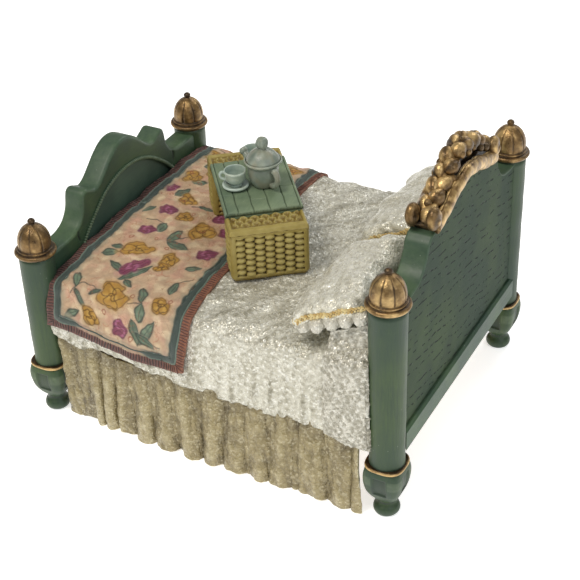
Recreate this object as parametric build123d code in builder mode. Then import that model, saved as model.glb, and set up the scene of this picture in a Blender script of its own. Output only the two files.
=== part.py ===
from build123d import *
from math import cos, radians, sin
import os

os.makedirs("parts", exist_ok=True)

# Miniature four poster bed, in millimetres.
# +X runs along the bed towards the headboard, -Y is the near side, +Z is up.
# The origin is on the floor, under the middle of the bed.

# Driving dimensions
POST_X = 46.0  # half the distance between post centres, along the bed
POST_Y = 35.9  # half the distance between post centres, across the bed
COLUMN_R = 4.2
FOOT_COLUMN_TOP = 46.0
HEAD_COLUMN_TOP = 57.3
BLOCK_TOP = 14.0  # top of the square block under each column
COLLAR_T = 1.2
RAIL_Z0 = 17.5  # lower edge of the end rails
RAIL_Z1 = 23.0  # upper edge of the end rails, where the end panels start
RAIL_T = 7.6
FOOT_PANEL_T = 5.75
HEAD_PANEL_T = 6.0
FOOT_PANEL_X = -45.9  # middle plane of the footboard
HEAD_PANEL_X = 45.7  # middle plane of the headboard
TONGUE_T = 2.0
TONGUE_DEPTH = 1.6
CLEARANCE = 0.05
SPIGOT_R = 1.25  # spigot under each finial
SPIGOT_LENGTH = 3.8

CREST_FRONT_X = 41.7
CREST_BACK_X = 49.9
MOULDING_T = 2.3
SCROLL_T = 3.3
VOLUTE_Y = 17.6
VOLUTE_Z = 69.0
VOLUTE_R = 2.5

SIDE_RAIL_Y0 = 33.2
SIDE_RAIL_Y1 = 36.2
MATTRESS_Z0 = 27.0
MATTRESS_TOP = 38.4
MATTRESS_HALF_WIDTH = 36.4
BEDDING_TOP = 39.8
QUILT_END = -5.0  # edge of the folded quilt across the bed

TRAY_CENTRE = (-5.2, -0.2)
TRAY_TURN = 38.0
TRAY_WIDTH = 18.8
TRAY_HALF_LENGTH = 19.5
TRAY_BOTTOM = 41.05
BASKET_DEPTH = 9.0
BASKET_TOP = 53.6
BOARD_TOP = 56.0
BOARD_T = 1.3
BOARD_LENGTH = 24.8

TEAPOT_XY = (-3.1, 0.25)
TEAPOT_TURN = 155.0  # direction of the spout
FLANGE_TOP = 6.85  # height of the teapot's rim above its base
LID_SEAT = 6.5
CUP_1_XY = (-8.6, -3.85)
CUP_2_XY = (-10.4, 8.4)
CUP_1_HEIGHT = 4.2
CUP_2_HEIGHT = 4.0
CUP_1_HANDLE = 205.0  # direction of each cup's handle
CUP_2_HANDLE = 70.0

PILLOW_LEAN = 25.0  # degrees from lying flat


def upright(x, y, turn=0.0):
    """Plane whose local X is a horizontal radius from (x, y) and whose local Y is world Z."""
    out = (cos(radians(turn)), sin(radians(turn)), 0)
    side = (sin(radians(turn)), -cos(radians(turn)), 0)
    return Plane(origin=(x, y, 0), x_dir=out, z_dir=side)


def across(x):
    """Plane facing +X at x: local X is world Y and local Y is world Z."""
    return Plane(origin=(x, 0, 0), x_dir=(0, 1, 0), z_dir=(1, 0, 0))


def save(builder, label):
    """Name a finished piece and write its STEP file."""
    builder.part.label = label
    export_step(builder.part, f"parts/{label}.step")
    return builder.part


# ---------------------------------------------------------------- posts


def make_post(label, x, y, top):
    """Turned post: bun foot, neck, swelling square block and plain round column."""
    inward = -1 if y > 0 else 1
    panel_x = HEAD_PANEL_X if x > 0 else FOOT_PANEL_X
    with BuildPart() as post:
        with BuildSketch(upright(x, y)):
            with BuildLine():
                Polyline((0, 5.2), (0, 0), (2.0, 0))
                ThreePointArc((2.0, 0), (3.15, 1.5), (2.3, 3.0))
                ThreePointArc((2.3, 3.0), (2.25, 4.0), (2.9, 5.2))
                Line((2.9, 5.2), (0, 5.2))
            make_face()
        revolve(axis=Axis((x, y, 0), (0, 0, 1)))
        for z, side in ((5.0, 6.4), (8.0, 8.7), (11.0, 9.6), (BLOCK_TOP, 8.8)):
            with BuildSketch(Plane((x, y, z))):
                RectangleRounded(side, side, side * 0.24)
        loft()
        with Locations((x, y, 10.0)):
            with PolarLocations(5.3, 4):
                Box(2.0, 4.0, 4.6, mode=Mode.SUBTRACT)
        with BuildSketch(Plane((x, y, BLOCK_TOP))):
            Circle(COLUMN_R)
        extrude(amount=top - BLOCK_TOP)
        slot_y = y + inward * (COLUMN_R - TONGUE_DEPTH / 2)
        with Locations((panel_x, slot_y, (RAIL_Z0 + top) / 2 - 1)):
            Box(TONGUE_T + 2 * CLEARANCE, TONGUE_DEPTH + 0.6, top - RAIL_Z0 - 2, mode=Mode.SUBTRACT)
        with Locations((x, y, top)):
            Hole(SPIGOT_R + CLEARANCE, depth=SPIGOT_LENGTH + 0.2)
    return save(post, label)


def make_collar(label, x, y):
    """Gilt collar that follows the block and lets the column pass."""
    with BuildPart() as collar:
        with BuildSketch(Plane((x, y, BLOCK_TOP))):
            RectangleRounded(9.7, 9.7, 2.4)
            Circle(COLUMN_R + CLEARANCE, mode=Mode.SUBTRACT)
        extrude(amount=COLLAR_T)
        fillet(collar.faces().sort_by(Axis.Z)[-1].outer_wire().edges(), 0.45)
    return save(collar, label)


def make_finial(label, x, y, seat):
    """Gilt finial: spigot, flared flange and a dome with a small knob."""
    with BuildPart() as finial:
        with BuildSketch(upright(x, y)):
            with BuildLine():
                Polyline((0, seat + 8.1), (0, seat - SPIGOT_LENGTH), (SPIGOT_R, seat - SPIGOT_LENGTH))
                Polyline((SPIGOT_R, seat - SPIGOT_LENGTH), (SPIGOT_R, seat), (4.3, seat))
                ThreePointArc((4.3, seat), (5.15, seat + 0.75), (4.3, seat + 1.5))
                Line((4.3, seat + 1.5), (3.9, seat + 1.9))
                ThreePointArc((3.9, seat + 1.9), (3.55, seat + 5.6), (0.8, seat + 8.1))
                Line((0.8, seat + 8.1), (0, seat + 8.1))
            make_face()
        revolve(axis=Axis((x, y, 0), (0, 0, 1)))
        with Locations((x, y, seat + 8.55)):
            Sphere(0.95)
    return save(finial, label)


def make_posts():
    """Four posts, each with its collar and finial."""
    for end, sx, top in (("head", 1, HEAD_COLUMN_TOP), ("foot", -1, FOOT_COLUMN_TOP)):
        for side, sy in (("near", -1), ("far", 1)):
            x = sx * POST_X
            y = sy * POST_Y
            make_post(f"post_{end}_{side}", x, y, top)
            make_collar(f"collar_{end}_{side}", x, y)
            make_finial(f"finial_{end}_{side}", x, y, top)


# ---------------------------------------------------------------- end boards


def column_space(radius, post_xs):
    """Round space that the columns at the given X places take up, with their clearance."""
    with BuildPart() as space:
        with BuildSketch(Plane.XY.offset(BLOCK_TOP)):
            for post_x in post_xs:
                with Locations((post_x, -POST_Y), (post_x, POST_Y)):
                    Circle(radius)
        extrude(amount=HEAD_COLUMN_TOP)
    return space.part


def tongues(x, z0, z1):
    """Pair of tongues that slide into the slots of two posts."""
    reach = POST_Y - COLUMN_R + TONGUE_DEPTH
    with BuildPart() as pair:
        with Locations((x, 1.5 - reach, (z0 + z1) / 2), (x, reach - 1.5, (z0 + z1) / 2)):
            Box(TONGUE_T, 3.0, z1 - z0)
    return pair.part


def make_end_rail(label, post_x, panel_x):
    """Bottom rail between two posts, a little proud of the board above it."""
    columns = column_space(COLUMN_R + CLEARANCE, (post_x,))
    ends = tongues(panel_x, RAIL_Z0 + 0.5, RAIL_Z1)
    with BuildPart() as rail:
        with Locations((post_x, 0, (RAIL_Z0 + RAIL_Z1) / 2)):
            Box(RAIL_T, 2 * POST_Y - 4.0, RAIL_Z1 - RAIL_Z0)
        chamfer(rail.edges().filter_by(Axis.Y).group_by(Axis.Z)[-1], 0.6)
        add(columns, mode=Mode.SUBTRACT)
        add(ends)
    return save(rail, label)


def headboard_arch(rise):
    """Points of the headboard's shallow arch, from its shoulder to its middle, raised by rise."""
    arch = ((20.6, 65.3), (17.0, 65.6), (11.0, 67.2), (6.8, 69.0), (0, 70.4))
    return [(y, z + rise) for y, z in arch]


def make_headboard():
    """Tall shaped headboard whose top edge is a shallow ogee arch."""
    columns = column_space(COLUMN_R + CLEARANCE, (POST_X,))
    ends = tongues(HEAD_PANEL_X, RAIL_Z1, HEAD_COLUMN_TOP - 2.5)
    with BuildPart() as board:
        with BuildSketch(across(HEAD_PANEL_X - HEAD_PANEL_T / 2)):
            with BuildLine():
                Polyline((0, RAIL_Z1), (34.0, RAIL_Z1), (34.0, 56.8), (30.0, 56.8))
                shoulder = ((30.0, 56.8), (26.0, 57.6), (23.0, 59.3), (21.2, 62.0), (20.6, 65.3))
                Spline(*shoulder, tangents=((-1, 0), (0, 1)))
                Spline(*headboard_arch(0), tangents=((-1, 0), (-1, 0)))
                Line((0, 70.4), (0, RAIL_Z1))
            make_face()
            mirror(about=Plane.YZ)
        extrude(amount=HEAD_PANEL_T)
        add(columns, mode=Mode.SUBTRACT)
        add(ends)
    return save(board, "headboard_panel")


def bead_arch(offset):
    """Points of the footboard's beaded arch from side to side, moved outwards by offset."""
    half = ((20.6, 41.2), (16.0, 45.4), (10.4, 49.2), (5.0, 51.2))
    right = [(y + 0.7 * offset, z + 0.7 * offset) for y, z in half]
    left = [(-y, z) for y, z in reversed(right)]
    return [*right, (0, 51.8 + offset), *left]


def footboard_top():
    """Points of the footboard's top edge: shoulder, ear and arch, then the same again mirrored."""
    shoulder = ((26.5, 44.9), (24.2, 45.2), (21.6, 46.4), (19.8, 48.9), (19.1, 52.0))
    ear = ((18.5, 53.4), (17.1, 53.9), (15.2, 53.1), (13.2, 52.4))
    arch = ((11.0, 53.3), (8.4, 55.4), (5.8, 57.5), (2.8, 59.2))
    right = (*shoulder, *ear, *arch)
    left = [(-y, z) for y, z in reversed(right)]
    return [*right, (0, 59.7), *left]


def make_footboard():
    """Lower footboard: an arched top between two small ears, and a recessed inner field."""
    inner_face = FOOT_PANEL_X + FOOT_PANEL_T / 2
    columns = column_space(COLUMN_R + CLEARANCE, (-POST_X,))
    ends = tongues(FOOT_PANEL_X, RAIL_Z1, FOOT_COLUMN_TOP - 2.5)
    with BuildPart() as board:
        with BuildSketch(across(FOOT_PANEL_X - FOOT_PANEL_T / 2)):
            with BuildLine():
                top = footboard_top()
                Polyline(top[-1], (-34.0, 44.9), (-34.0, RAIL_Z1), (34.0, RAIL_Z1), (34.0, 44.9), top[0])
                Spline(*top)
            make_face()
        extrude(amount=FOOT_PANEL_T)
        with BuildSketch(across(inner_face)):
            with BuildLine():
                field = bead_arch(-0.9)
                Polyline(field[-1], (-19.5, 24.0), (19.5, 24.0), field[0])
                Spline(*field)
            make_face()
        extrude(amount=-0.8, mode=Mode.SUBTRACT)
        add(columns, mode=Mode.SUBTRACT)
        add(ends)
    return save(board, "footboard_panel")


def make_footboard_beading():
    """Half-round bead moulding that arches over the footboard's inner field."""
    inner_face = FOOT_PANEL_X + FOOT_PANEL_T / 2 + CLEARANCE
    with BuildPart() as beading:
        with BuildSketch(across(inner_face)):
            with BuildLine():
                outer = bead_arch(0.6)
                inner = bead_arch(-0.6)
                Spline(*outer)
                Line(outer[-1], inner[-1])
                Spline(*inner)
                Line(inner[0], outer[0])
            make_face()
        extrude(amount=0.9)
    return save(beading, "footboard_beading")


# ---------------------------------------------------------------- crest of the headboard


def make_crest_moulding(label, x, board):
    """Gilt moulding that follows the arch on one face of the headboard."""
    high = headboard_arch(2.6)
    low = headboard_arch(-0.7)
    with BuildPart() as moulding:
        with BuildSketch(across(x)):
            with BuildLine():
                Line((0, 69.7), (0, 73.0))
                Spline(*high)
                Line(high[0], low[0])
                Spline(*low)
            make_face()
            mirror(about=Plane.YZ)
            with Locations((VOLUTE_Y, VOLUTE_Z), (-VOLUTE_Y, VOLUTE_Z)):
                Circle(VOLUTE_R + CLEARANCE, mode=Mode.SUBTRACT)
        extrude(amount=MOULDING_T)
        add(board, mode=Mode.SUBTRACT)
    return save(moulding, label)


def make_crest_volutes(label, side):
    """Pair of scrolls at one end of the crest, one on each face, joined by a hub."""
    with BuildPart() as volutes:
        with BuildSketch(across(CREST_FRONT_X + 1)):
            with Locations((side * VOLUTE_Y, VOLUTE_Z)):
                Circle(VOLUTE_R - 0.7)
        extrude(amount=CREST_BACK_X - CREST_FRONT_X - 2)
        for x in (CREST_FRONT_X, CREST_BACK_X - SCROLL_T):
            with BuildSketch(across(x)):
                with Locations((side * VOLUTE_Y, VOLUTE_Z)):
                    Circle(VOLUTE_R)
            extrude(amount=SCROLL_T)
        fillet(volutes.edges().filter_by(GeomType.CIRCLE).group_by(SortBy.RADIUS)[-1], 0.6)
    return save(volutes, label)


def make_crest_garland(board):
    """Row of leaf and fruit lobes between the two mouldings, highest in the middle."""
    x = CREST_FRONT_X + MOULDING_T + CLEARANCE
    depth = CREST_BACK_X - CREST_FRONT_X - 2 * (MOULDING_T + CLEARANCE)
    lobes = ((0, 75.3, 3.4), (5.4, 73.8, 2.7), (9.8, 71.4, 2.3), (13.4, 69.9, 2.0))
    high = headboard_arch(2.8)
    with BuildPart() as garland:
        with BuildSketch(across(x)):
            with BuildLine():
                Line((0, 66.0), (0, 73.2))
                Spline(*high)
                Polyline(high[0], (20.6, 66.0), (0, 66.0))
            make_face()
            mirror(about=Plane.YZ)
            for y, z, radius in lobes:
                with Locations((y, z), (-y, z)):
                    Circle(radius)
            with Locations((VOLUTE_Y, VOLUTE_Z), (-VOLUTE_Y, VOLUTE_Z)):
                Circle(VOLUTE_R + CLEARANCE, mode=Mode.SUBTRACT)
        extrude(amount=depth)
        add(board, mode=Mode.SUBTRACT)
    return save(garland, "crest_garland")


# ---------------------------------------------------------------- bed base


def make_side_rail(label, side):
    """Long rail between the head and foot posts, mortised for its pegs."""
    y = side * (SIDE_RAIL_Y0 + SIDE_RAIL_Y1) / 2
    columns = column_space(COLUMN_R + CLEARANCE, (-POST_X, POST_X))
    with BuildPart() as rail:
        with Locations((0, y, 20.0)):
            Box(84.2, SIDE_RAIL_Y1 - SIDE_RAIL_Y0, 8.0)
        add(columns, mode=Mode.SUBTRACT)
        with Locations((-39.5, y, 20.0), (39.5, y, 20.0)):
            Box(7.0, 1.5, 1.5, mode=Mode.SUBTRACT)
    return save(rail, label)


def make_rail_pegs():
    """Square tenon pegs that lock the side rails' ends, one in each."""
    with BuildPart() as pegs:
        for sy in (-1, 1):
            y = sy * (SIDE_RAIL_Y0 + SIDE_RAIL_Y1) / 2
            with Locations((-39.0, y, 20.0), (39.0, y, 20.0)):
                Box(5.0, 1.4, 1.4)
    return save(pegs, "rail_pegs")


def make_slat_cleat(label, side):
    """Thin cleat along the inside of a side rail, which carries the slats."""
    with BuildPart() as cleat:
        with Locations((0, side * (SIDE_RAIL_Y0 - 0.85), 17.2)):
            Box(76.0, 1.6, 1.6)
    return save(cleat, label)


def make_bed_slats():
    """Seven loose slats across the bed."""
    with BuildPart() as slats:
        with Locations((0, 0, 18.8)):
            with GridLocations(12.0, 1, 7, 1):
                Box(5.0, 2 * SIDE_RAIL_Y0 - 0.2, 1.5)
    return save(slats, "bed_slats")


def make_padded_block(label, length, half_width, z0, z1, corner):
    """Soft block that lies between the end boards."""
    columns = column_space(COLUMN_R + 2 * CLEARANCE, (-POST_X, POST_X))
    with BuildPart() as block:
        with Locations((0, 0, (z0 + z1) / 2)):
            Box(length, 2 * half_width, z1 - z0)
        fillet(block.edges().filter_by(Axis.X), corner)
        add(columns, mode=Mode.SUBTRACT)
    return save(block, label)


# ---------------------------------------------------------------- hangings and bedclothes


def side_profile(side, points):
    """Mirror a list of (distance from the middle, height) points to one side."""
    return [(side * y, z) for y, z in points]


def make_skirt(label, side):
    """Valance that hangs from under the coverlet to the floor and flares a little."""
    drop = ((36.3, 23.0), (36.9, 23.0), (37.15, 19.5), (38.6, 9.0), (40.4, 0), (38.2, 0))
    outline = side_profile(side, drop)
    with BuildPart() as skirt:
        with BuildSketch(across(-41.0)):
            Polygon(*outline, align=None)
        extrude(amount=81.0)
    return save(skirt, label)


def make_coverlet():
    """Padded coverlet over the mattress, hanging down both sides."""
    drop = ((36.55, MATTRESS_TOP + 0.05), (37.3, 19.5), (38.6, 19.5), (37.6, 38.6), (35.8, BEDDING_TOP))
    outline = side_profile(1, drop) + side_profile(-1, reversed(drop))
    columns = column_space(COLUMN_R + 0.9, (-POST_X, POST_X))
    with BuildPart() as coverlet:
        with BuildSketch(across(-41.2)):
            Polygon(*outline, align=None)
        extrude(amount=82.4)
        with BuildSketch(Plane((0, 0, 19.5))):
            with Locations((35.6, -38.8)):
                RectangleRounded(11.2, 3.2, 1.4)
        extrude(amount=17.5)
        add(columns, mode=Mode.SUBTRACT)
    return save(coverlet, "coverlet")


def make_quilt():
    """Quilt folded over the foot half of the bed, hanging down both sides."""
    top = BEDDING_TOP + CLEARANCE
    drop = ((35.85, top), (37.7, 38.7), (38.7, 24.5), (39.7, 24.5), (38.9, 39.4), (36.2, top + 1.1))
    outline = side_profile(1, drop) + side_profile(-1, reversed(drop))
    columns = column_space(COLUMN_R + 0.9, (-POST_X,))
    with BuildPart() as quilt:
        with BuildSketch(across(-41.2)):
            Polygon(*outline, align=None)
        extrude(amount=41.2 + QUILT_END)
        add(columns, mode=Mode.SUBTRACT)
    return save(quilt, "quilt")


def make_pillow(label, y):
    """Plump pillow that leans back against the headboard."""
    lean = radians(PILLOW_LEAN)
    slope = Plane(origin=(30.9, y, 49.4), x_dir=(cos(lean), 0, sin(lean)), z_dir=(-sin(lean), 0, cos(lean)))
    with BuildPart(slope) as pillow:
        Box(18.0, 34.8, 9.0)
        fillet(pillow.edges(), 3.6)
    return save(pillow, label)


# ---------------------------------------------------------------- bed tray


def tray_plane(z):
    """Plane of the tray at height z: local X across it and local Y along it."""
    turn = radians(TRAY_TURN)
    return Plane(origin=(*TRAY_CENTRE, z), x_dir=(cos(turn), sin(turn), 0), z_dir=(0, 0, 1))


def make_tray_basket(label, side):
    """Open-topped wicker basket that stands at one end of the tray."""
    middle = side * (TRAY_HALF_LENGTH - BASKET_DEPTH / 2)
    wall = 1.1
    with BuildPart() as basket:
        with BuildSketch(tray_plane(TRAY_BOTTOM)):
            with Locations((0, middle)):
                RectangleRounded(TRAY_WIDTH, BASKET_DEPTH, 0.9)
        extrude(amount=BASKET_TOP - TRAY_BOTTOM)
        with BuildSketch(tray_plane(TRAY_BOTTOM + wall)):
            with Locations((0, middle)):
                Rectangle(TRAY_WIDTH - 2 * wall, BASKET_DEPTH - 2 * wall)
        extrude(amount=BASKET_TOP, mode=Mode.SUBTRACT)
    return save(basket, label)


def make_basket_lid(label, side):
    """Woven lid strip over the outer part of a basket."""
    middle = side * (TRAY_HALF_LENGTH - 3.5)
    with BuildPart() as lid:
        with BuildSketch(tray_plane(BASKET_TOP)):
            with Locations((0, middle)):
                RectangleRounded(TRAY_WIDTH, 6.9, 0.9)
        extrude(amount=1.3)
    return save(lid, label)


def make_tray_bearer(label, side):
    """Strip on a basket's inner edge that the board rests on."""
    middle = side * (TRAY_HALF_LENGTH - BASKET_DEPTH + 0.95)
    with BuildPart() as bearer:
        with BuildSketch(tray_plane(BASKET_TOP)):
            with Locations((0, middle)):
                Rectangle(TRAY_WIDTH - 0.6, 1.9)
        extrude(amount=BOARD_TOP - BOARD_T - BASKET_TOP)
    return save(bearer, label)


def make_tray_board():
    """Planked board of the tray."""
    with BuildPart() as board:
        with BuildSketch(tray_plane(BOARD_TOP - BOARD_T)):
            RectangleRounded(TRAY_WIDTH, BOARD_LENGTH, 0.6)
        extrude(amount=BOARD_T)
        with BuildSketch(tray_plane(BOARD_TOP)):
            with GridLocations(TRAY_WIDTH / 6, 1, 5, 1):
                Rectangle(0.2, BOARD_LENGTH)
        extrude(amount=-0.2, mode=Mode.SUBTRACT)
    return save(board, "tray_board")


# ---------------------------------------------------------------- tea set


def make_teapot():
    """Barrel-shaped teapot with a broad rim, a straight rising spout and a round handle."""
    x, y = TEAPOT_XY
    base = BOARD_TOP + CLEARANCE
    rim = base + FLANGE_TOP
    seat = base + LID_SEAT
    axis = Axis((x, y, 0), (0, 0, 1))
    spout_root = upright(x, y, TEAPOT_TURN)
    handle_side = upright(x, y, TEAPOT_TURN + 180)
    with BuildPart() as pot:
        with BuildSketch(upright(x, y)):
            with BuildLine():
                Polyline((0, base), (2.6, base), (3.1, base + 0.5))
                Spline((3.1, base + 0.5), (3.75, base + 3.6), (3.7, base + 5.2), (4.6, rim - 0.65))
                Polyline((4.6, rim - 0.65), (4.6, rim), (0, rim), (0, base))
            make_face()
        revolve(axis=axis)
        with BuildLine(spout_root):
            spout_line = Line((2.9, base + 2.6), (8.2, base + 6.0))
        with BuildSketch(Plane(origin=spout_line @ 0, z_dir=spout_line % 0)):
            Circle(1.0)
        with BuildSketch(Plane(origin=spout_line @ 1, z_dir=spout_line % 1)):
            Circle(0.75)
        loft()
        with BuildLine(handle_side):
            handle_line = ThreePointArc((3.2, base + 5.0), (5.5, base + 2.9), (3.0, base + 1.2))
        with BuildSketch(Plane(origin=handle_line @ 0, z_dir=handle_line % 0)):
            Circle(0.7)
        sweep(path=handle_line)
        with BuildSketch(upright(x, y)):
            with BuildLine():
                Polyline((0, base + 0.7), (2.2, base + 0.7))
                Spline((2.2, base + 0.7), (3.2, base + 3.6), (3.15, seat))
                Polyline((3.15, seat), (4.2, seat), (4.2, rim + 0.1), (0, rim + 0.1))
                Line((0, rim + 0.1), (0, base + 0.7))
            make_face()
        revolve(axis=axis, mode=Mode.SUBTRACT)
        with BuildSketch(Plane(origin=spout_line @ 1, z_dir=spout_line % 1)):
            Circle(0.4)
        extrude(amount=-5.6, mode=Mode.SUBTRACT)
    return save(pot, "teapot")


def make_teapot_lid():
    """Tall domed lid with a locating lip and a round knob."""
    x, y = TEAPOT_XY
    seat = BOARD_TOP + LID_SEAT + 2 * CLEARANCE
    with BuildPart() as lid:
        with BuildSketch(upright(x, y)):
            with BuildLine():
                Polyline((0, seat - 0.7), (3.0, seat - 0.7), (3.0, seat), (4.1, seat), (4.1, seat + 0.5))
                ThreePointArc((4.1, seat + 0.5), (2.9, seat + 2.2), (1.0, seat + 3.1))
                Polyline((1.0, seat + 3.1), (0, seat + 3.1), (0, seat - 0.7))
            make_face()
        revolve(axis=Axis((x, y, 0), (0, 0, 1)))
        with Locations((x, y, seat + 4.5)):
            Sphere(1.55)
    return save(lid, "teapot_lid")


def make_saucer():
    """Dished saucer on a low foot."""
    x, y = CUP_1_XY
    base = BOARD_TOP + CLEARANCE
    with BuildPart() as saucer:
        with BuildSketch(upright(x, y)):
            with BuildLine():
                Polyline((0, base), (1.8, base), (3.25, base + 0.7), (3.25, base + 1.05))
                Line((3.25, base + 1.05), (1.6, base + 0.5))
                Polyline((1.6, base + 0.5), (0, base + 0.5), (0, base))
            make_face()
        revolve(axis=Axis((x, y, 0), (0, 0, 1)))
    return save(saucer, "saucer")


def make_teacup(label, centre, base, height, turn):
    """Round cup on a small foot, with a loop handle on one side."""
    x, y = centre
    axis = Axis((x, y, 0), (0, 0, 1))
    with BuildPart() as cup:
        with BuildSketch(upright(x, y)):
            with BuildLine():
                Polyline((0, base), (1.3, base), (1.3, base + 0.4))
                ThreePointArc((1.3, base + 0.4), (2.4, base + 1.9), (2.75, base + height))
                Polyline((2.75, base + height), (0, base + height), (0, base))
            make_face()
        revolve(axis=axis)
        with BuildLine(upright(x, y, turn)):
            loop = ThreePointArc((2.4, base + height - 0.7), (3.9, base + height - 1.6), (2.1, base + 1.2))
        with BuildSketch(Plane(origin=loop @ 0, z_dir=loop % 0)):
            Circle(0.38)
        sweep(path=loop)
        with BuildSketch(upright(x, y)):
            with BuildLine():
                Polyline((0, base + 0.7), (1.1, base + 0.7))
                ThreePointArc((1.1, base + 0.7), (2.1, base + 2.0), (2.4, base + height))
                Polyline((2.4, base + height), (0, base + height), (0, base + 0.7))
            make_face()
        revolve(axis=axis, mode=Mode.SUBTRACT)
    return save(cup, label)


make_posts()
make_end_rail("headboard_bottom_rail", POST_X, HEAD_PANEL_X)
make_end_rail("footboard_bottom_rail", -POST_X, FOOT_PANEL_X)
headboard = make_headboard()
make_footboard()
make_footboard_beading()
make_crest_moulding("crest_moulding_front", CREST_FRONT_X, headboard)
make_crest_moulding("crest_moulding_back", CREST_BACK_X - MOULDING_T, headboard)
make_crest_volutes("crest_volutes_near", -1)
make_crest_volutes("crest_volutes_far", 1)
make_crest_garland(headboard)
make_side_rail("side_rail_near", -1)
make_side_rail("side_rail_far", 1)
make_rail_pegs()
make_slat_cleat("slat_cleat_near", -1)
make_slat_cleat("slat_cleat_far", 1)
make_bed_slats()
make_padded_block("box_spring", 84.0, SIDE_RAIL_Y0 - 0.2, 19.6, MATTRESS_Z0 - 0.05, 0.8)
make_padded_block("mattress", 85.0, MATTRESS_HALF_WIDTH, MATTRESS_Z0, MATTRESS_TOP, 1.6)
make_skirt("bed_skirt_near", -1)
make_skirt("bed_skirt_far", 1)
make_coverlet()
make_quilt()
make_pillow("pillow_near", -18.5)
make_pillow("pillow_far", 17.4)
make_tray_basket("tray_basket_near", -1)
make_tray_basket("tray_basket_far", 1)
make_basket_lid("basket_lid_near", -1)
make_basket_lid("basket_lid_far", 1)
make_tray_bearer("tray_bearer_near", -1)
make_tray_bearer("tray_bearer_far", 1)
make_tray_board()
make_teapot()
make_teapot_lid()
make_saucer()
make_teacup("teacup_near", CUP_1_XY, BOARD_TOP + 2 * CLEARANCE + 0.5, CUP_1_HEIGHT, CUP_1_HANDLE)
make_teacup("teacup_far", CUP_2_XY, BOARD_TOP + CLEARANCE, CUP_2_HEIGHT, CUP_2_HANDLE)
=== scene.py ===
from math import cos, pi, radians, sin, sqrt

import bmesh
import bpy
import numpy as np
from mathutils import Matrix, Vector
from mathutils.kdtree import KDTree


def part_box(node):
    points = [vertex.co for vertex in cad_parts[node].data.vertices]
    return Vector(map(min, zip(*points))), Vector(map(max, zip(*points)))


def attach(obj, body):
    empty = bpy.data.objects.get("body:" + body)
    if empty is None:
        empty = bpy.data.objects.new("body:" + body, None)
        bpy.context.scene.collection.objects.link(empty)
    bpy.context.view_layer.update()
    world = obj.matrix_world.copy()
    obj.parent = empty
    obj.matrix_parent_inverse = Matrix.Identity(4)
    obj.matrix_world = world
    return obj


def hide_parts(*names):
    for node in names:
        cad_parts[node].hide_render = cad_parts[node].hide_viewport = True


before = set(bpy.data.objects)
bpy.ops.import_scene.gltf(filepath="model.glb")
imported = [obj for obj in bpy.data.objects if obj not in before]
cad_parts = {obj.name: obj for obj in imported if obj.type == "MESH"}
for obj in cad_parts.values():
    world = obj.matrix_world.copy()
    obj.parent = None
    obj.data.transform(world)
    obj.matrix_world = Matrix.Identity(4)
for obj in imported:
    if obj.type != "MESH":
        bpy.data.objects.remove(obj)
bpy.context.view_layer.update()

# Shapes are worked out in millimetres, in the row frame: +X towards the headboard, -Y the near side.
MM = 0.001
TRAY_TURN = radians(38.0)
HEADBOARD_MIDDLE = 45.7
BASKET_MIDDLE = 15.0
FLOOR_HALF = 900
CASE_ENLARGED = 16.0  # the pillows' cloth is worked out at this scale
CASE_RISE = 0.9  # the furthest the stuffing moves it


def node_box(node):
    """Lowest and highest corner of a CAD node, in millimetres."""
    low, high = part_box(node)
    return np.array(low) / MM, np.array(high) / MM


def node_centre(node):
    low, high = node_box(node)
    return (low + high) / 2


# ---------------------------------------------------------------- shapes


def unit(vectors):
    return vectors / np.maximum(np.linalg.norm(vectors, axis=-1, keepdims=True), 1e-9)


def smoothstep(low, high, value):
    t = np.clip((value - low) / (high - low), 0, 1)
    return t * t * (3 - 2 * t)


def wobble(points, wavelength, seed, waves=9):
    """Smooth irregular value from about -1 to 1, with bumps about a wavelength apart."""
    rng = np.random.default_rng(seed)
    total = np.zeros(np.shape(points)[:-1])
    for _ in range(waves):
        direction = rng.normal(size=3)
        direction *= 2 * pi / wavelength * rng.uniform(0.6, 1.5) / np.linalg.norm(direction)
        total += np.sin(points @ direction + rng.uniform(0, 2 * pi))
    return total / sqrt(waves)


def curve_through(points, count):
    """Smooth curve (Catmull-Rom) through the points, sampled evenly."""
    points = np.array(points, float)
    ends = np.vstack([2 * points[0] - points[1], points, 2 * points[-1] - points[-2]])
    t = np.linspace(0, len(points) - 1 - 1e-9, 1200)
    i = t.astype(int)
    t = (t - i)[:, None]
    a, b, c, d = (ends[i + k] for k in range(4))
    line = 0.5 * (2 * b + (c - a) * t + (2 * a - 5 * b + 4 * c - d) * t**2 + (3 * b - a - 3 * c + d) * t**3)
    return evenly(line, count)


def steps(line):
    """Length of each step of a line."""
    return np.linalg.norm(np.diff(line, axis=0), axis=1)


def points_of(*parts):
    """Points from coordinates that broadcast together."""
    return np.stack(np.broadcast_arrays(*parts), -1)


def wobble_along(x, wavelength, seed):
    """The wobble of points along the X axis."""
    return wobble(np.stack([x, 0 * x, 0 * x], 1), wavelength, seed)


def evenly(line, count, span=None):
    """The same line with that many points, evenly spaced by its first span columns."""
    along = np.concatenate([[0], np.cumsum(steps(line[:, :span]))])
    at = np.linspace(0, along[-1], count)
    return np.stack([np.interp(at, along, line[:, k]) for k in range(line.shape[1])], axis=1)


def grid_faces(nu, nv, close_u=False, close_v=False, start=0, flip=False):
    """Quads of a grid of nu by nv points."""
    i = np.arange(nu if close_u else nu - 1)
    j = np.arange(nv if close_v else nv - 1)
    i, j = np.meshgrid(i, j, indexing="ij")
    i2, j2 = (i + 1) % nu, (j + 1) % nv
    faces = np.stack([i * nv + j, i2 * nv + j, i2 * nv + j2, i * nv + j2], -1).reshape(-1, 4)
    return (faces[:, ::-1] if flip else faces) + start


def link_object(name, data):
    obj = bpy.data.objects.new(name, data)
    bpy.context.scene.collection.objects.link(obj)
    return obj


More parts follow.
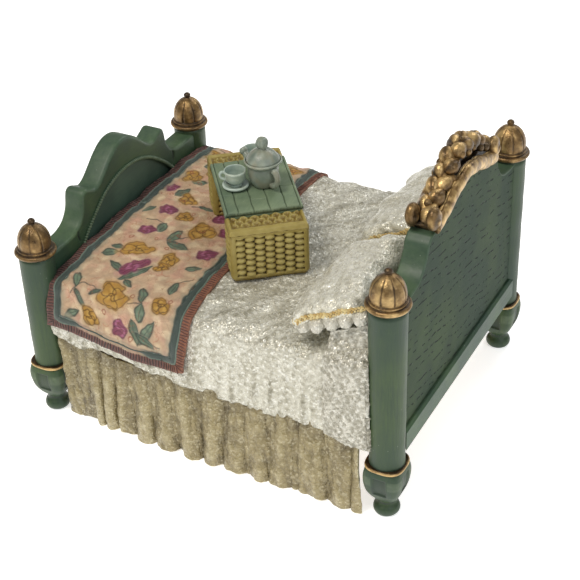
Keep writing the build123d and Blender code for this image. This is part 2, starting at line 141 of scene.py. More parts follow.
def weld(mesh, distance):
    """Merge doubled points and turn every face outward."""
    soup = bmesh.new()
    soup.from_mesh(mesh)
    bmesh.ops.remove_doubles(soup, verts=soup.verts, dist=distance)
    bmesh.ops.recalc_face_normals(soup, faces=soup.faces)
    soup.to_mesh(mesh)
    soup.free()


class Shape:
    """Points, faces and a relief value per point (0 in a recess, 1 on a ridge) that grow into one mesh. The
    materials paint shade where relief is low and highlight where it is high.
    """

    def __init__(self):
        self.points, self.faces, self.relief, self.tint, self.count = [], [], [], [], 0

    def add(self, points, faces, relief=0.6, tint=0.0):
        points = np.asarray(points, float).reshape(-1, 3)
        self.points.append(points)
        self.faces += (np.asarray(faces) + self.count).tolist()
        self.relief.append(np.broadcast_to(np.ravel(relief), len(points)).astype(float))
        self.tint.append(np.broadcast_to(np.ravel(tint), len(points)).astype(float))
        self.count += len(points)
        return self

    def add_cap(self, ring, relief=0.6):
        """Fill a closed ring of points with a fan round its middle."""
        n = len(ring)
        return self.add(np.vstack([ring, ring.mean(0)]), [[k, (k + 1) % n, n] for k in range(n)], relief)

    def build(self, name, material, body, slot, replaces=(), place=None):
        points = np.vstack(self.points)
        if place is not None:
            points = place(points)
        mesh = bpy.data.meshes.new(name)
        mesh.from_pydata((points * MM).tolist(), [], self.faces)
        mesh.materials.append(material)
        for layer, values in (("relief", self.relief), ("tint", self.tint)):
            mesh.attributes.new(layer, "FLOAT", "POINT").data.foreach_set("value", np.concatenate(values))
        weld(mesh, 1e-7)
        mesh.shade_smooth()
        obj = link_object(name, mesh)
        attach(obj, body)
        if replaces:
            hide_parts(*replaces)
        return obj


def surface_normals(points):
    """Unit normals of a grid of points."""
    along = np.gradient(points, axis=0)
    across = np.gradient(points, axis=1)
    return unit(np.cross(along, across))


def add_shell(shape, front, thickness, relief=0.6, tint=0.0):
    """Closed sheet: the front grid, a back one behind it, and rims that join them."""
    nu, nv = front.shape[:2]
    normal = surface_normals(front)
    back = front - normal * thickness
    relief = np.broadcast_to(relief, (nu, nv))
    tint = np.broadcast_to(tint, (nu, nv))
    # The back grid gets half the front's relief, so the sheet's underside is painted darker: painted shade.
    shape.add(np.concatenate([front.reshape(-1, 3), back.reshape(-1, 3)]),
              np.concatenate([grid_faces(nu, nv), grid_faces(nu, nv, start=nu * nv, flip=True)]),
              np.concatenate([relief.ravel(), relief.ravel() * 0.5]),
              np.concatenate([tint.ravel(), tint.ravel()]))
    ring = np.concatenate([np.arange(nv), np.arange(1, nu) * nv + nv - 1,
                           (nu - 1) * nv + np.arange(nv - 2, -1, -1), np.arange(nu - 2, 0, -1) * nv])
    edge_front, edge_back = front.reshape(-1, 3)[ring], back.reshape(-1, 3)[ring]
    rim = np.stack([edge_front, (edge_front + edge_back) / 2, edge_back], 1)
    shape.add(rim, grid_faces(len(ring), 3, close_u=True), np.repeat(relief.ravel()[ring], 3),
              np.repeat(tint.ravel()[ring], 3))
    return shape


def add_lathe(shape, profile, centre, segments=96, radius=None, relief=None):
    """Surface of revolution about a vertical axis. profile is (radius, height); radius(r, z, angle) shapes it."""
    profile = np.asarray(profile, float)
    angle = np.linspace(0, 2 * pi, segments, endpoint=False)[:, None]
    r, z = profile[None, :, 0], profile[None, :, 1]
    r = np.broadcast_to(r if radius is None else radius(r, z, angle), (segments, len(profile)))
    points = np.stack([centre[0] + r * np.cos(angle), centre[1] + r * np.sin(angle),
                       np.broadcast_to(z, r.shape)], -1)
    value = 0.6 if relief is None else relief(np.broadcast_to(profile[None, :, 0], r.shape), z, angle)
    shape.add(points, grid_faces(segments, len(profile), close_u=True), np.broadcast_to(value, r.shape))
    for end in (0, -1):
        if profile[end, 0] > 0.02:
            shape.add_cap(points[:, end], np.ravel(np.broadcast_to(value, r.shape)[:, end]).mean())
    return shape


def add_slab(shape, top, floor, relief, under_relief, edge_relief):
    """Closed slab from its top grid down to a flat underside."""
    under = top.copy()
    under[..., 2] = floor
    shape.add(top, grid_faces(*top.shape[:2]), relief)
    # Callers give the underside a low relief, so it is painted darker: painted shade under the slab.
    shape.add(under, grid_faces(*top.shape[:2], flip=True), under_relief)
    for edge in (np.s_[0], np.s_[-1], np.s_[:, 0], np.s_[:, -1]):
        strip = np.stack([top[edge], under[edge]], 1)
        shape.add(strip, grid_faces(len(strip), 2), edge_relief)
    return shape


def frames_along(line):
    """Tangent and two steady side directions at each point of a line."""
    tangent = unit(np.gradient(line, axis=0))
    side = np.cross(tangent[0], (0, 0, 1.0))
    if np.linalg.norm(side) < 0.2:
        side = np.cross(tangent[0], (0, 1.0, 0))
    sides = []
    for t in tangent:
        side = side - t * np.dot(side, t)
        side = side / np.linalg.norm(side)
        sides.append(side)
    sides = np.array(sides)
    return tangent, sides, np.cross(tangent, sides)


def add_tube(shape, line, radii, segments=20, flat=1.0, side=None, relief=0.6):
    """Tube along a line. radii is one radius or one per point; flat squashes it along its side direction."""
    line = np.asarray(line, float)
    tangent, side_a, side_b = frames_along(line)
    if side is not None:
        side_a = np.broadcast_to(np.asarray(side, float), line.shape)
        side_b = unit(np.cross(tangent, side_a))
    radii = np.broadcast_to(radii, len(line))[:, None, None]
    angle = np.linspace(0, 2 * pi, segments, endpoint=False)[None, :, None]
    ring = line[:, None] + radii * (np.cos(angle) * side_a[:, None] * flat + np.sin(angle) * side_b[:, None])
    shape.add(ring, grid_faces(len(line), segments, close_v=True), relief)
    shape.add_cap(ring[0])
    shape.add_cap(ring[-1])
    return shape


def ball(rings=10, segments=16):
    """Unit sphere as points and faces."""
    lat = np.linspace(-pi / 2 + 0.05, pi / 2 - 0.05, rings)[:, None]
    lon = np.linspace(0, 2 * pi, segments, endpoint=False)[None, :]
    points = np.stack([np.cos(lat) * np.cos(lon), np.cos(lat) * np.sin(lon),
                       np.broadcast_to(np.sin(lat), (rings, segments))], -1)
    faces = grid_faces(rings, segments, close_v=True).tolist()
    points = np.vstack([points.reshape(-1, 3), [[0, 0, -1], [0, 0, 1]]])
    top = (rings - 1) * segments
    for k in range(segments):
        k2 = (k + 1) % segments
        faces.append([k2, k, rings * segments, rings * segments])
        faces.append([top + k, top + k2, rings * segments + 1, rings * segments + 1])
    return points, faces


BALL = ball()


def add_blob(shape, centre, axes, radii, squeeze=1.0, relief=None, tint=0.0, template=BALL):
    """Ellipsoid whose axes are the rows of axes. squeeze scales the unit ball's points first."""
    points, faces = template
    unit_points = points * squeeze
    placed = np.asarray(centre) + (unit_points * np.asarray(radii)) @ np.asarray(axes)
    # With no relief given, the half of the ball along its third axis is set higher and painted lighter, the other
    # half darker: painted highlight and shade.
    value = 0.35 + 0.5 * np.clip(unit_points[:, 2], 0, 1) if relief is None else relief
    start = shape.count
    shape.points.append(placed)
    shape.faces += [[start + k for k in dict.fromkeys(f)] for f in faces]
    shape.relief.append(np.broadcast_to(value, len(placed)).astype(float))
    shape.tint.append(np.full(len(placed), float(tint)))
    shape.count += len(placed)
    return shape


# ---------------------------------------------------------------- materials


def colour(code):
    """Linear colour of a web colour."""
    channels = [int(code[k:k + 2], 16) / 255 for k in (1, 3, 5)]
    return tuple(c / 12.92 if c <= 0.04045 else ((c + 0.055) / 1.055) ** 2.4 for c in channels) + (1.0,)


class Finish:
    """Node material whose textures are measured in millimetres of the object's own space."""

    def __init__(self, name):
        self.material = bpy.data.materials.new(name)
        self.material.use_nodes = True
        self.tree = self.material.node_tree
        self.shader = self.tree.nodes["Principled BSDF"]
        place = self.tree.nodes.new("ShaderNodeTexCoord")
        per_metre = (1000, 1000, 1000)
        self.mm = self.node("ShaderNodeMapping", Vector=place.outputs["Object"], Scale=per_metre).outputs[0]
        self.height = None

    def node(self, kind, settings=(), **inputs):
        made = self.tree.nodes.new(kind)
        for key, value in settings:
            setattr(made, key, value)
        for key, value in inputs.items():
            self.join(made.inputs[key.replace("_", " ")], value)
        return made

    def join(self, socket, value):
        if isinstance(value, bpy.types.NodeSocket):
            self.tree.links.new(value, socket)
        else:
            socket.default_value = value

    def stretched(self, scale, turn=(0, 0, 0)):
        return self.node("ShaderNodeMapping", Vector=self.mm, Scale=scale, Rotation=turn).outputs[0]

    def warped(self, scale, amount, stretch=(1, 1, 1)):
        """The millimetre coordinates pushed about by noise, so that cells lose their straight edges."""
        push = self.node("ShaderNodeTexNoise", Vector=self.mm, Scale=scale, Detail=2.0).outputs["Color"]
        push = self.node("ShaderNodeVectorMath", [("operation", "SCALE")], Vector=push, Scale=amount).outputs[0]
        made = self.node("ShaderNodeVectorMath", [("operation", "ADD")])
        self.join(made.inputs[0], self.stretched(stretch))
        self.join(made.inputs[1], push)
        return made.outputs[0]

    def noise(self, scale, detail=3.0, vector=None, rough=0.55):
        made = self.node("ShaderNodeTexNoise", Vector=vector or self.mm, Scale=scale, Detail=detail,
                         Roughness=rough)
        return made.outputs["Fac"]

    def cells(self, scale, vector=None, feature="F1"):
        made = self.node("ShaderNodeTexVoronoi", [("feature", feature)], Vector=vector or self.mm, Scale=scale)
        return made.outputs["Distance"], made.outputs["Color"] if feature == "F1" else None

    def attribute(self, name):
        return self.node("ShaderNodeAttribute", [("attribute_name", name)]).outputs["Fac"]

    def ramp(self, value, *stops):
        made = self.node("ShaderNodeValToRGB", Fac=value)
        ramp = made.color_ramp
        while len(ramp.elements) < len(stops):
            ramp.elements.new(0.5)
        for element, (place, shade) in zip(ramp.elements, stops):
            element.position = place
            element.color = colour(shade) if isinstance(shade, str) else (shade, shade, shade, 1)
        return made.outputs["Color"]

    def mix(self, factor, first, second, blend="MIX"):
        made = self.tree.nodes.new("ShaderNodeMix")
        made.data_type = "RGBA"
        made.blend_type = blend
        self.join(made.inputs[0], factor)
        for socket, value in ((made.inputs[6], first), (made.inputs[7], second)):
            self.join(socket, colour(value) if isinstance(value, str) else value)
        return made.outputs[2]

    def math(self, operation, first, second=0.0, third=0.0):
        made = self.tree.nodes.new("ShaderNodeMath")
        made.operation = operation
        for socket, value in zip(made.inputs, (first, second, third)):
            self.join(socket, value)
        return made.outputs[0]

    def times(self, first, second):
        return self.math("MULTIPLY", first, second)

    def plus(self, first, second):
        return self.math("ADD", first, second)

    def bump(self, height, distance, strength=1.0):
        """Add one layer of bump, in millimetres; later layers build on it."""
        made = self.node("ShaderNodeBump", Height=height, Distance=distance * MM, Strength=strength)
        if self.height is not None:
            self.join(made.inputs["Normal"], self.height)
        self.height = made.outputs[0]
        self.join(self.shader.inputs["Normal"], self.height)

    def set(self, **inputs):
        for key, value in inputs.items():
            self.join(self.shader.inputs[key.replace("_", " ")], value)
        return self.material


def painted(name, deep, low, high, streak=(1.4, 1.4, 0.12), gloss=0.42, pores=False, shine=0.42):
    """Brushed satin paint on cast wood: streaks, blotches, recesses darkened by a wash and by painted shade, and
    ridges made pale by wear and by a painted highlight.
    """
    f = Finish(name)
    streaks = f.noise(1.6, 5, f.stretched(streak), 0.65)
    blotches = f.noise(0.10, 3)
    both = f.plus(f.times(streaks, 0.6), f.times(blotches, 0.6))
    base = f.ramp(both, (0.40, low), (0.80, high))
    cool = f.ramp(f.noise(0.07, 2, f.stretched((1.0, 1.0, 0.5))), (0.42, 0.0), (0.62, 0.6))
    base = f.mix(cool, base, deep)
    relief = f.attribute("relief")
    # Low relief mixes towards near-black green: a dark wash in the recesses that also stands in for painted shade.
    base = f.mix(f.ramp(relief, (0.1, 1.0), (0.5, 0.0)), base, "#1f2a26")
    # High relief mixes towards pale green: worn paint on the ridges and a painted highlight together.
    wear_and_highlight = f.times(f.ramp(relief, (0.72, 0.0), (1.0, 0.55)), f.noise(0.8, 3))
    base = f.mix(wear_and_highlight, base, "#93a184")
    specks = f.ramp(f.cells(0.5)[0], (0.0, 1.0), (0.06, 0.0))
    base = f.mix(f.times(specks, 0.6), base, "#b9c2b0")
    scratches = f.ramp(f.noise(4.0, 4, f.stretched(streak), 0.7), (0.56, 0.0), (0.72, 0.35))
    base = f.mix(scratches, base, high)
    f.bump(streaks, 0.09, 0.7)
    f.bump(f.noise(5.0, 3), 0.03, 0.6)
    if pores:
        base = add_pores(f, base)
    roughness = f.math("MULTIPLY_ADD", streaks, 0.25, gloss - 0.1)
    return f.set(Base_Color=base, Roughness=roughness, Specular_IOR_Level=shine)


def add_pores(f, base):
    """Rows of short dark strokes scratched along Y, as wood pores are drawn in a casting."""
    apart = f.node("ShaderNodeSeparateXYZ", Vector=f.mm)
    y, z = apart.outputs[1], apart.outputs[2]
    sway = f.times(f.noise(0.12, 1), 2.6)
    rows = f.math("DIVIDE", f.plus(z, f.plus(sway, f.times(y, 0.22))), 2.3)
    row = f.math("FLOOR", rows)
    off_line = f.math("ABSOLUTE", f.math("SUBTRACT", f.math("FRACT", rows), 0.5))
    along = f.node("ShaderNodeCombineXYZ", X=f.times(y, 0.50), Y=f.times(row, 7.31)).outputs[0]
    dashes = f.node("ShaderNodeTexNoise", Vector=along, Scale=1.0, Detail=1.0).outputs["Fac"]
    stroke = f.times(f.ramp(dashes, (0.50, 0.0), (0.55, 1.0)), f.ramp(off_line, (0.05, 1.0), (0.10, 0.0)))
    f.bump(f.math("SUBTRACT", 1.0, stroke), 0.22, 1.0)
    return f.mix(f.times(stroke, 0.8), base, "#161f1b")


def gilt(name):
    """Antique gold: bronze with bright ridges (worn gilding and painted highlight), umber recesses (patina and
    painted shade) and a grey-brown patina.
    """
    f = Finish(name)
    relief = f.attribute("relief")
    uneven = f.noise(0.5, 4)
    # The relief sets the level: umber where it is low, as patina and painted shade, pale gold where it is high, as
    # wear and painted highlight.
    level = f.plus(relief, f.math("MULTIPLY_ADD", uneven, 1.0, -0.5))
    base = f.ramp(level, (0.05, "#1b140d"), (0.34, "#4a3823"), (0.68, "#84683f"), (1.0, "#d8b77c"))
    patina = f.times(f.ramp(f.noise(0.2, 4), (0.46, 0.0), (0.62, 0.7)), f.ramp(relief, (0.55, 1.0), (0.95, 0.2)))
    base = f.mix(patina, base, "#40372a")
    f.bump(f.noise(1.6, 4), 0.16, 0.8)
    f.bump(f.noise(6.0, 3), 0.04, 0.7)
    return f.set(Base_Color=base, Metallic=0.6, Roughness=f.math("MULTIPLY_ADD", uneven, 0.3, 0.18),
                 Specular_IOR_Level=0.5)


def glitter_cloth(name, deep, low, high, grain, puckers=0.0, flecks=0.3, fleck_shade="#fffff6", crease=(1, 1, 1),
                  crumple=1.0):
    """Pearly painted cloth with fine glitter; relief paints shade into the folds and highlight onto their crests,
    and pale flecks stand in for the glitter's glints.
    """
    f = Finish(name)
    blotches = f.noise(0.22, 4)
    fine = f.noise(crumple, 5, f.stretched(crease), 0.58)
    cells, random_shade = f.cells(grain, f.warped(1.1, 0.8))
    relief = f.attribute("relief")
    # Relief carries most of the level: folds go towards deep as painted shade and crests towards high as painted
    # highlight.
    level = f.plus(f.times(blotches, 0.2), f.times(relief, 0.8))
    level = f.plus(level, f.math("MULTIPLY_ADD", fine, 0.22, -0.02))
    base = f.ramp(level, (0.26, deep), (0.50, low), (0.86, high))
    speck = f.node("ShaderNodeSeparateColor", Color=random_shade)
    # Near-white flecks: pale glitter flakes painted bright, standing in for their glints as well.
    bright = f.times(f.ramp(speck.outputs[0], (0.66, 0.0), (0.96, 1.0)), flecks)
    dull = f.times(f.ramp(speck.outputs[1], (0.74, 0.0), (0.99, 1.0)), flecks * 0.5)
    base = f.mix(bright, base, fleck_shade)
    base = f.mix(dull, base, deep)
    f.bump(fine, puckers * 1.6, 1.0)
    f.bump(cells, 0.22, 0.7)
    f.bump(speck.outputs[2], 0.12, 0.6)
    return f.set(Base_Color=base, Metallic=0.3, Roughness=f.math("MULTIPLY_ADD", speck.outputs[2], 0.25, 0.2),
                 Specular_IOR_Level=0.9, Sheen_Weight=0.1)


def printed_cloth(name):
    """Painted quilt: the colours come from the cloth's own print layer, over grain and thin painted curls."""
    f = Finish(name)
    print_layer = f.node("ShaderNodeAttribute", [("attribute_name", "print")]).outputs["Color"]
    relief = f.attribute("relief")
    wash = f.noise(0.5, 5, rough=0.65)
    base = f.mix(1.0, print_layer, f.ramp(wash, (0.28, 0.74), (0.72, 1.12)), "MULTIPLY")
    # Low relief (the sheet's back) mixes towards dark brown: painted shade.
    base = f.mix(f.ramp(relief, (0.05, 0.7), (0.5, 0.0)), base, "#5a4534")
    curls = f.cells(0.42, f.warped(0.5, 3.4), "DISTANCE_TO_EDGE")[0]
    faded = f.ramp(f.noise(0.25, 2), (0.42, 0.0), (0.56, 0.55))
    curl_line = f.times(f.ramp(curls, (0.0, 1.0), (0.035, 0.0)), faded)
    base = f.mix(curl_line, base, "#8f5638")
    f.bump(f.ramp(curls, (0.0, 0.0), (0.05, 1.0)), 0.06, 0.4)
    f.bump(f.noise(2.2, 5, rough=0.65), 0.12, 0.7)
    return f.set(Base_Color=base, Roughness=0.55, Specular_IOR_Level=0.4, Sheen_Weight=0.1)


def trim(name, first, second, deep):
    """Cord or fringe: tint mixes two yarn colours, and low relief paints shade into the gaps."""
    f = Finish(name)
    base = f.mix(f.attribute("tint"), first, second)
    base = f.mix(f.times(f.noise(1.5, 4), 0.25), base, "#a9a08a")
    base = f.mix(f.ramp(f.attribute("relief"), (0.2, 0.95), (0.62, 0.0)), base, deep)
    f.bump(f.noise(6.0, 3), 0.06, 0.8)
    return f.set(Base_Color=base, Roughness=0.6, Specular_IOR_Level=0.35, Sheen_Weight=0.2)


def wicker(name):
    """Olive straw with brown painted shade in the gaps and pale crowns, from wear and a painted highlight."""
    f = Finish(name)
    relief = f.attribute("relief")
    uneven = f.noise(0.5, 4)
    level = f.plus(relief, f.math("MULTIPLY_ADD", uneven, 0.4, -0.2))
    # Low relief gives the dark brown of the gaps (painted shade), high relief the pale straw of the crowns (wear
    # and painted highlight).
    base = f.ramp(level, (0.08, "#33270c"), (0.34, "#6d5821"), (0.62, "#93813f"), (0.98, "#b5a866"))
    f.bump(f.noise(1.8, 4), 0.10, 0.7)
    return f.set(Base_Color=base, Roughness=0.42, Specular_IOR_Level=0.45)


def glazed(name, deep, low, high, stain):
    """Hand-painted satin glaze; low relief darkens the hollows with a wash that also stands in for painted shade,
    and high relief lightens lips and rims as a painted highlight.
    """
    f = Finish(name)
    relief = f.attribute("relief")
    patches = f.noise(0.35, 3)
    base = f.ramp(f.plus(f.times(patches, 0.6), f.times(relief, 0.45)),
                  (0.25, deep), (0.5, low), (0.85, high))
    base = f.mix(f.times(f.ramp(f.noise(0.28, 2), (0.5, 0.0), (0.68, 1.0)), 0.55), base, stain)
    f.bump(f.noise(3.0, 3), 0.08, 0.7)
    return f.set(Base_Color=base, Roughness=f.math("MULTIPLY_ADD", patches, 0.3, 0.22), Specular_IOR_Level=0.5,
                 Coat_Weight=0.15, Coat_Roughness=0.3)


def bare_wood(name):
    f = Finish(name)
    grain = f.noise(1.2, 5, f.stretched((0.1, 0.9, 0.9)))
    f.bump(grain, 0.08, 0.7)
    return f.set(Base_Color=f.ramp(grain, (0.3, "#a98558"), (0.7, "#d3b384")), Roughness=0.65)


def ticking(name):
    f = Finish(name)
    apart = f.node("ShaderNodeSeparateXYZ", Vector=f.mm)
    stripes = f.math("SINE", f.times(apart.outputs[0], 3.2))
    base = f.ramp(stripes, (0.80, "#d8d0ba"), (0.9, "#7c8594"))
    f.bump(f.noise(6.0, 2), 0.05, 0.7)
    return f.set(Base_Color=base, Roughness=0.85, Sheen_Weight=0.2)


POST_PAINT = painted("post_paint", "#213830", "#2b3f2c", "#44592f", (1.2, 1.2, 0.10))
BOARD_PAINT = painted("board_paint", "#233c33", "#344c37", "#48623e", (0.5, 0.10, 0.9))
BACK_PAINT = painted("back_paint", "#24372f", "#303f2e", "#435437", (0.5, 0.09, 1.1), 0.65, True, 0.18)
GILT = gilt("gilt")
COVERLET = glitter_cloth("coverlet_cloth", "#827e69", "#b0ac99", "#dbd9ca", 2.1, 0.08, 0.55, crumple=1.3)
PEBBLED = glitter_cloth("pebbled_cloth", "#7c7864", "#a7a392", "#d2cfc1", 2.4, 0.05, 0.35)
PILLOW = glitter_cloth("pillow_cloth", "#8f8b75", "#c6c2ae", "#f0eede", 2.1, 0.08, 0.55, crumple=1.3)
SKIRT = glitter_cloth("skirt_cloth", "#594c29", "#93855a", "#cac19d", 2.0, 0.14, 0.30, "#e6debe",
                      (1, 1, 0.55), 0.8)
QUILT = printed_cloth("quilt_print")
BRAID = trim("quilt_braid", "#4d665c", "#7b8d7a", "#1b2724")
FIELD_PAINT = painted("field_paint", "#354b40", "#3f5449", "#526a58", (0.5, 0.10, 0.9), 0.5)
FRINGE = trim("quilt_fringe", "#3a1f26", "#7a3a2a", "#1d100e")
GOLD_BRAID = trim("gold_braid", "#b08a36", "#e0d096", "#5c461c")
WICKER = wicker("wicker")
TRAY_PAINT = painted("tray_paint", "#485e4d", "#697b60", "#889776", (1.6, 0.2, 1.6), 0.5)
TEA_GLAZE = glazed("tea_glaze", "#545f56", "#778275", "#a2ab9a", "#857e65")
CUP_GLAZE = glazed("cup_glaze", "#62746c", "#96a79b", "#cbd8cc", "#a2ab94")
WOOD = bare_wood("bare_wood")
TICKING = ticking("ticking")


# ---------------------------------------------------------------- posts


def square_radius(half, power, angle):
    """Radius of a rounded square of that half width: power 2 is a circle, more is squarer."""
    return half / (np.abs(np.cos(angle)) ** power + np.abs(np.sin(angle)) ** power) ** (1 / power)


def make_post(end, side):
    """Turned post with a bun foot, a swelling square block with inset panels, and a round column."""
    node = f"post_{end}_{side}"
    x, y = node_centre(node)[:2]
    top = node_box(node)[1][2]
    rows = [(0.0, 1.7, 2), (0.12, 2.5, 2), (0.7, 3.0, 2), (1.5, 3.15, 2), (2.3, 2.9, 2), (2.9, 2.4, 2),
            (3.5, 2.15, 2), (4.1, 2.2, 2), (4.7, 2.6, 2.6), (5.3, 3.1, 3.6), (6.2, 3.6, 4.5), (7.5, 4.15, 5),
            (9.0, 4.5, 5), (10.6, 4.72, 5), (12.0, 4.72, 5), (13.2, 4.5, 5), (13.9, 4.3, 4.5), (14.2, 4.25, 3.2),
            (14.4, 4.2, 2), (15.4, 4.12, 2)]
    rows = curve_through(rows, 120)
    column = np.stack([np.linspace(15.6, top, 26), np.linspace(4.1, 4.28, 26), np.full(26, 2.0)], 1)
    rows = np.vstack([rows, column])
    powers = dict(zip(rows[:, 0], rows[:, 2]))

    def panel(z, angle, half):
        across = np.abs(((angle + pi / 4) % (pi / 2)) - pi / 4)
        sideways = half * np.tan(np.clip(across, 0, 1.0))
        edge = np.minimum(1.75 - sideways, np.minimum(z - 7.4, 12.6 - z))
        return smoothstep(0.0, 0.3, edge), smoothstep(-0.35, 0.0, edge) * (1 - smoothstep(0.0, 0.3, edge))

    def radius(half, z, angle):
        power = np.array([[powers[v] for v in np.ravel(z)]])
        depth, _ = panel(z, angle, half)
        spot = points_of(half * np.cos(angle), half * np.sin(angle), z)
        sway = 0.035 * wobble(spot, 7.0, 5 + int(x > 0) * 2 + int(y > 0))
        return square_radius(half, power, angle) - 0.4 * depth + sway

    # Inset panels and their edges get low relief, a wash that is also painted shade; the seams are dark joint
    # lines; the block's outer corners get high relief, paled by wear and painted highlight.
    def relief(half, z, angle):
        depth, edge = panel(z, angle, half)
        seams = smoothstep(0.5, 0.0, np.abs(z - 3.6)) * 0.4 + smoothstep(0.7, 0.0, np.abs(z - 15.1)) * 0.35
        return 0.62 - 0.3 * depth - 0.4 * edge - seams + 0.25 * smoothstep(4.55, 4.72, half) * (1 - depth)

    shape = add_lathe(Shape(), rows[:, [1, 0]], (x, y), 144, radius, relief)
    shape.build(f"turned_{node}", POST_PAINT, "bed", "painted_post", [node])


def make_collar(end, side):
    """Thin gilt ring over the block."""
    node = f"collar_{end}_{side}"
    x, y = node_centre(node)[:2]
    z = node_box(node)[0][2] + 0.55
    turn = np.linspace(-pi / 2 - 0.5, pi / 2 + 0.5, 14)
    profile = np.stack([4.35 + 0.42 * np.cos(turn), z + 0.42 * np.sin(turn)], 1)
    # The ring's inner side against the post is darker (patina and painted shade) and its outer edge brighter (wear
    # and painted highlight).
    shape = add_lathe(Shape(), profile, (x, y), 96, lambda r, z, a: square_radius(r, 2.9, a),
                      lambda r, z, a: 0.35 + 0.6 * smoothstep(4.4, 4.75, r))
    shape.build(f"ring_{node}", GILT, "bed", "gilt", [node])


def make_finial(end, side, seed):
    """Melon-fluted dome on a double flange, with a small knob."""
    node = f"finial_{end}_{side}"
    x, y = node_centre(node)[:2]
    seat = node_box(node)[1][2] - 9.5
    profile = [(4.0, -0.1), (4.65, 0.05), (5.0, 0.4), (5.1, 0.75), (4.9, 1.1), (4.45, 1.3), (4.2, 1.4),
               (4.35, 1.62), (4.3, 1.85), (3.95, 2.0), (4.02, 2.8), (4.0, 3.8), (3.75, 5.0), (3.25, 6.1),
               (2.5, 7.0), (1.7, 7.6), (1.0, 7.95), (0.72, 8.15), (0.85, 8.45), (0.95, 8.8), (0.75, 9.2),
               (0.35, 9.45), (0.02, 9.5)]
    profile = curve_through(profile, 110) + (0, seat)
    turn = seed * 0.21

    def groove(z, angle):
        on_dome = smoothstep(seat + 1.9, seat + 2.4, z) * smoothstep(seat + 8.0, seat + 7.3, z)
        return on_dome * (1 - np.abs(np.sin(4 * (angle + turn)))) ** 7

    def radius(r, z, angle):
        return r * (1 - 0.07 * groove(z, angle)) - 0.02 * (r > 0.1)

    # The flutes and flange seams get low relief and go dark: patina and painted shade in the grooves.
    def relief(r, z, angle):
        seam = smoothstep(0.3, 0.0, np.abs(z - seat - 1.35)) + smoothstep(0.3, 0.0, np.abs(z - seat - 2.0))
        knob = smoothstep(seat + 7.9, seat + 8.2, z)
        dark = 0.42 * groove(z, angle) + 0.4 * np.clip(seam, 0, 1) + 0.35 * knob
        return 0.72 - dark - 0.1 * np.sin(angle + seed)

    add_lathe(Shape(), profile, (x, y), 160, radius, relief).build(f"fluted_{node}", GILT, "bed", "gilt", [node])


# ---------------------------------------------------------------- end boards


def mirrored(half):
    """Whole outline from its +Y half, which runs from the side to the middle."""
    return np.vstack([half, half[:-1][::-1] * (-1, 1)])


def headboard_outline():
    """(y, z) of the headboard's top edge, from +Y to -Y."""
    shoulder = [(30, 56.8), (26, 57.5), (23.4, 59.0), (21.5, 61.6), (20.4, 64.0), (18.8, 65.3)]
    crown = [(18.2, 65.45), (17, 65.6), (11, 67.2), (6.8, 69.0), (0, 70.4)]
    half = np.vstack([[(33.4, 56.8)], curve_through(shoulder, 34), curve_through(crown, 40)])
    return evenly(mirrored(half), 300)


def footboard_outline():
    """(y, z) of the footboard's top edge, from +Y to -Y: a scoop by each post, a soft ear and the high arch."""
    half = [(26.5, 44.9), (24.2, 45.2), (21.6, 46.4), (19.8, 48.9), (19.1, 52.0), (18.5, 53.4), (17.1, 53.9),
            (15.2, 53.1), (13.2, 52.4), (11, 53.3), (8.4, 55.4), (5.8, 57.5), (2.8, 59.2), (0, 59.7)]
    whole = np.array(half + [(-y, z) for y, z in half[-2::-1]])
    whole = curve_through(whole, 400)
    return evenly(np.vstack([[(33.4, 44.9)], whole, [(-33.4, 44.9)]]), 340)


def make_board(name, outline, z0, x_back, x_front, roll, relief_front, replaces, paint, paint_back=None):
    """Solid board whose top edge follows the outline, with rolled edges and a modelled front face."""
    along = unit(np.gradient(outline, axis=0))
    outward = np.stack([along[:, 1], -along[:, 0]], 1)
    outward *= np.sign(outward[:, 1:].sum())
    rolls = np.linspace(0, pi / 2, 7)
    rows = 70
    inset = outline - outward * roll
    front = []
    for t in np.linspace(0, 1, rows) ** 0.8:
        front.append(np.stack([np.full(len(inset), x_front), inset[:, 0], z0 + (inset[:, 1] - z0) * t], 1))
    edge = []
    for x_edge, sign, angles in ((x_front, -1, rolls[1:]), (x_back, 1, rolls[::-1][:-1])):
        for a in angles:
            rim = outline - outward * roll * (1 - sin(a))
            inner = x_edge + sign * np.sign(x_front - x_back) * roll * (1 - cos(a))
            edge.append(np.stack([np.full(len(rim), inner), rim[:, 0], rim[:, 1]], 1))
    back = [np.stack([np.full(len(inset), x_back), p[:, 1], p[:, 2]], 1) for p in front[::-1]]
    grid = np.stack(front + edge + back, 1)
    push, value = relief_front(grid[..., 1], grid[..., 2])
    on_front = np.zeros(grid.shape[:2])
    on_front[:, :rows] = 1
    grid[..., 0] -= push * on_front * np.sign(x_front - x_back)
    value = np.where(on_front > 0, value, 0.6)
    # The rolled edges get relief 0.8 and are paled a little: worn paint and painted highlight.
    value[:, rows:rows + len(edge)] = 0.8
    shape = Shape().add(grid, grid_faces(*grid.shape[:2], close_v=True), value)
    board = shape.build(name, paint, "bed", "painted_board", replaces)
    if paint_back:
        repaint(board, paint_back, lambda x, y, z: abs(x - x_back) < 0.02)
    return board


def repaint(board, paint, chosen):
    """Another paint for the faces whose middle is chosen, in millimetres."""
    board.data.materials.append(paint)
    for face in board.data.polygons:
        if chosen(*face.center / MM):
            face.material_index = len(board.data.materials) - 1


def plain_relief(y, z):
    return 0 * y, 0 * y + 0.6


def arch_height(y):
    """Height of the footboard's beaded arch at y."""
    half = curve_through([(0, 51.8), (5, 51.2), (10.4, 49.2), (16, 45.4), (20.6, 41.2), (24, 37.0)], 80)
    return np.interp(np.abs(y), half[:, 0], half[:, 1])


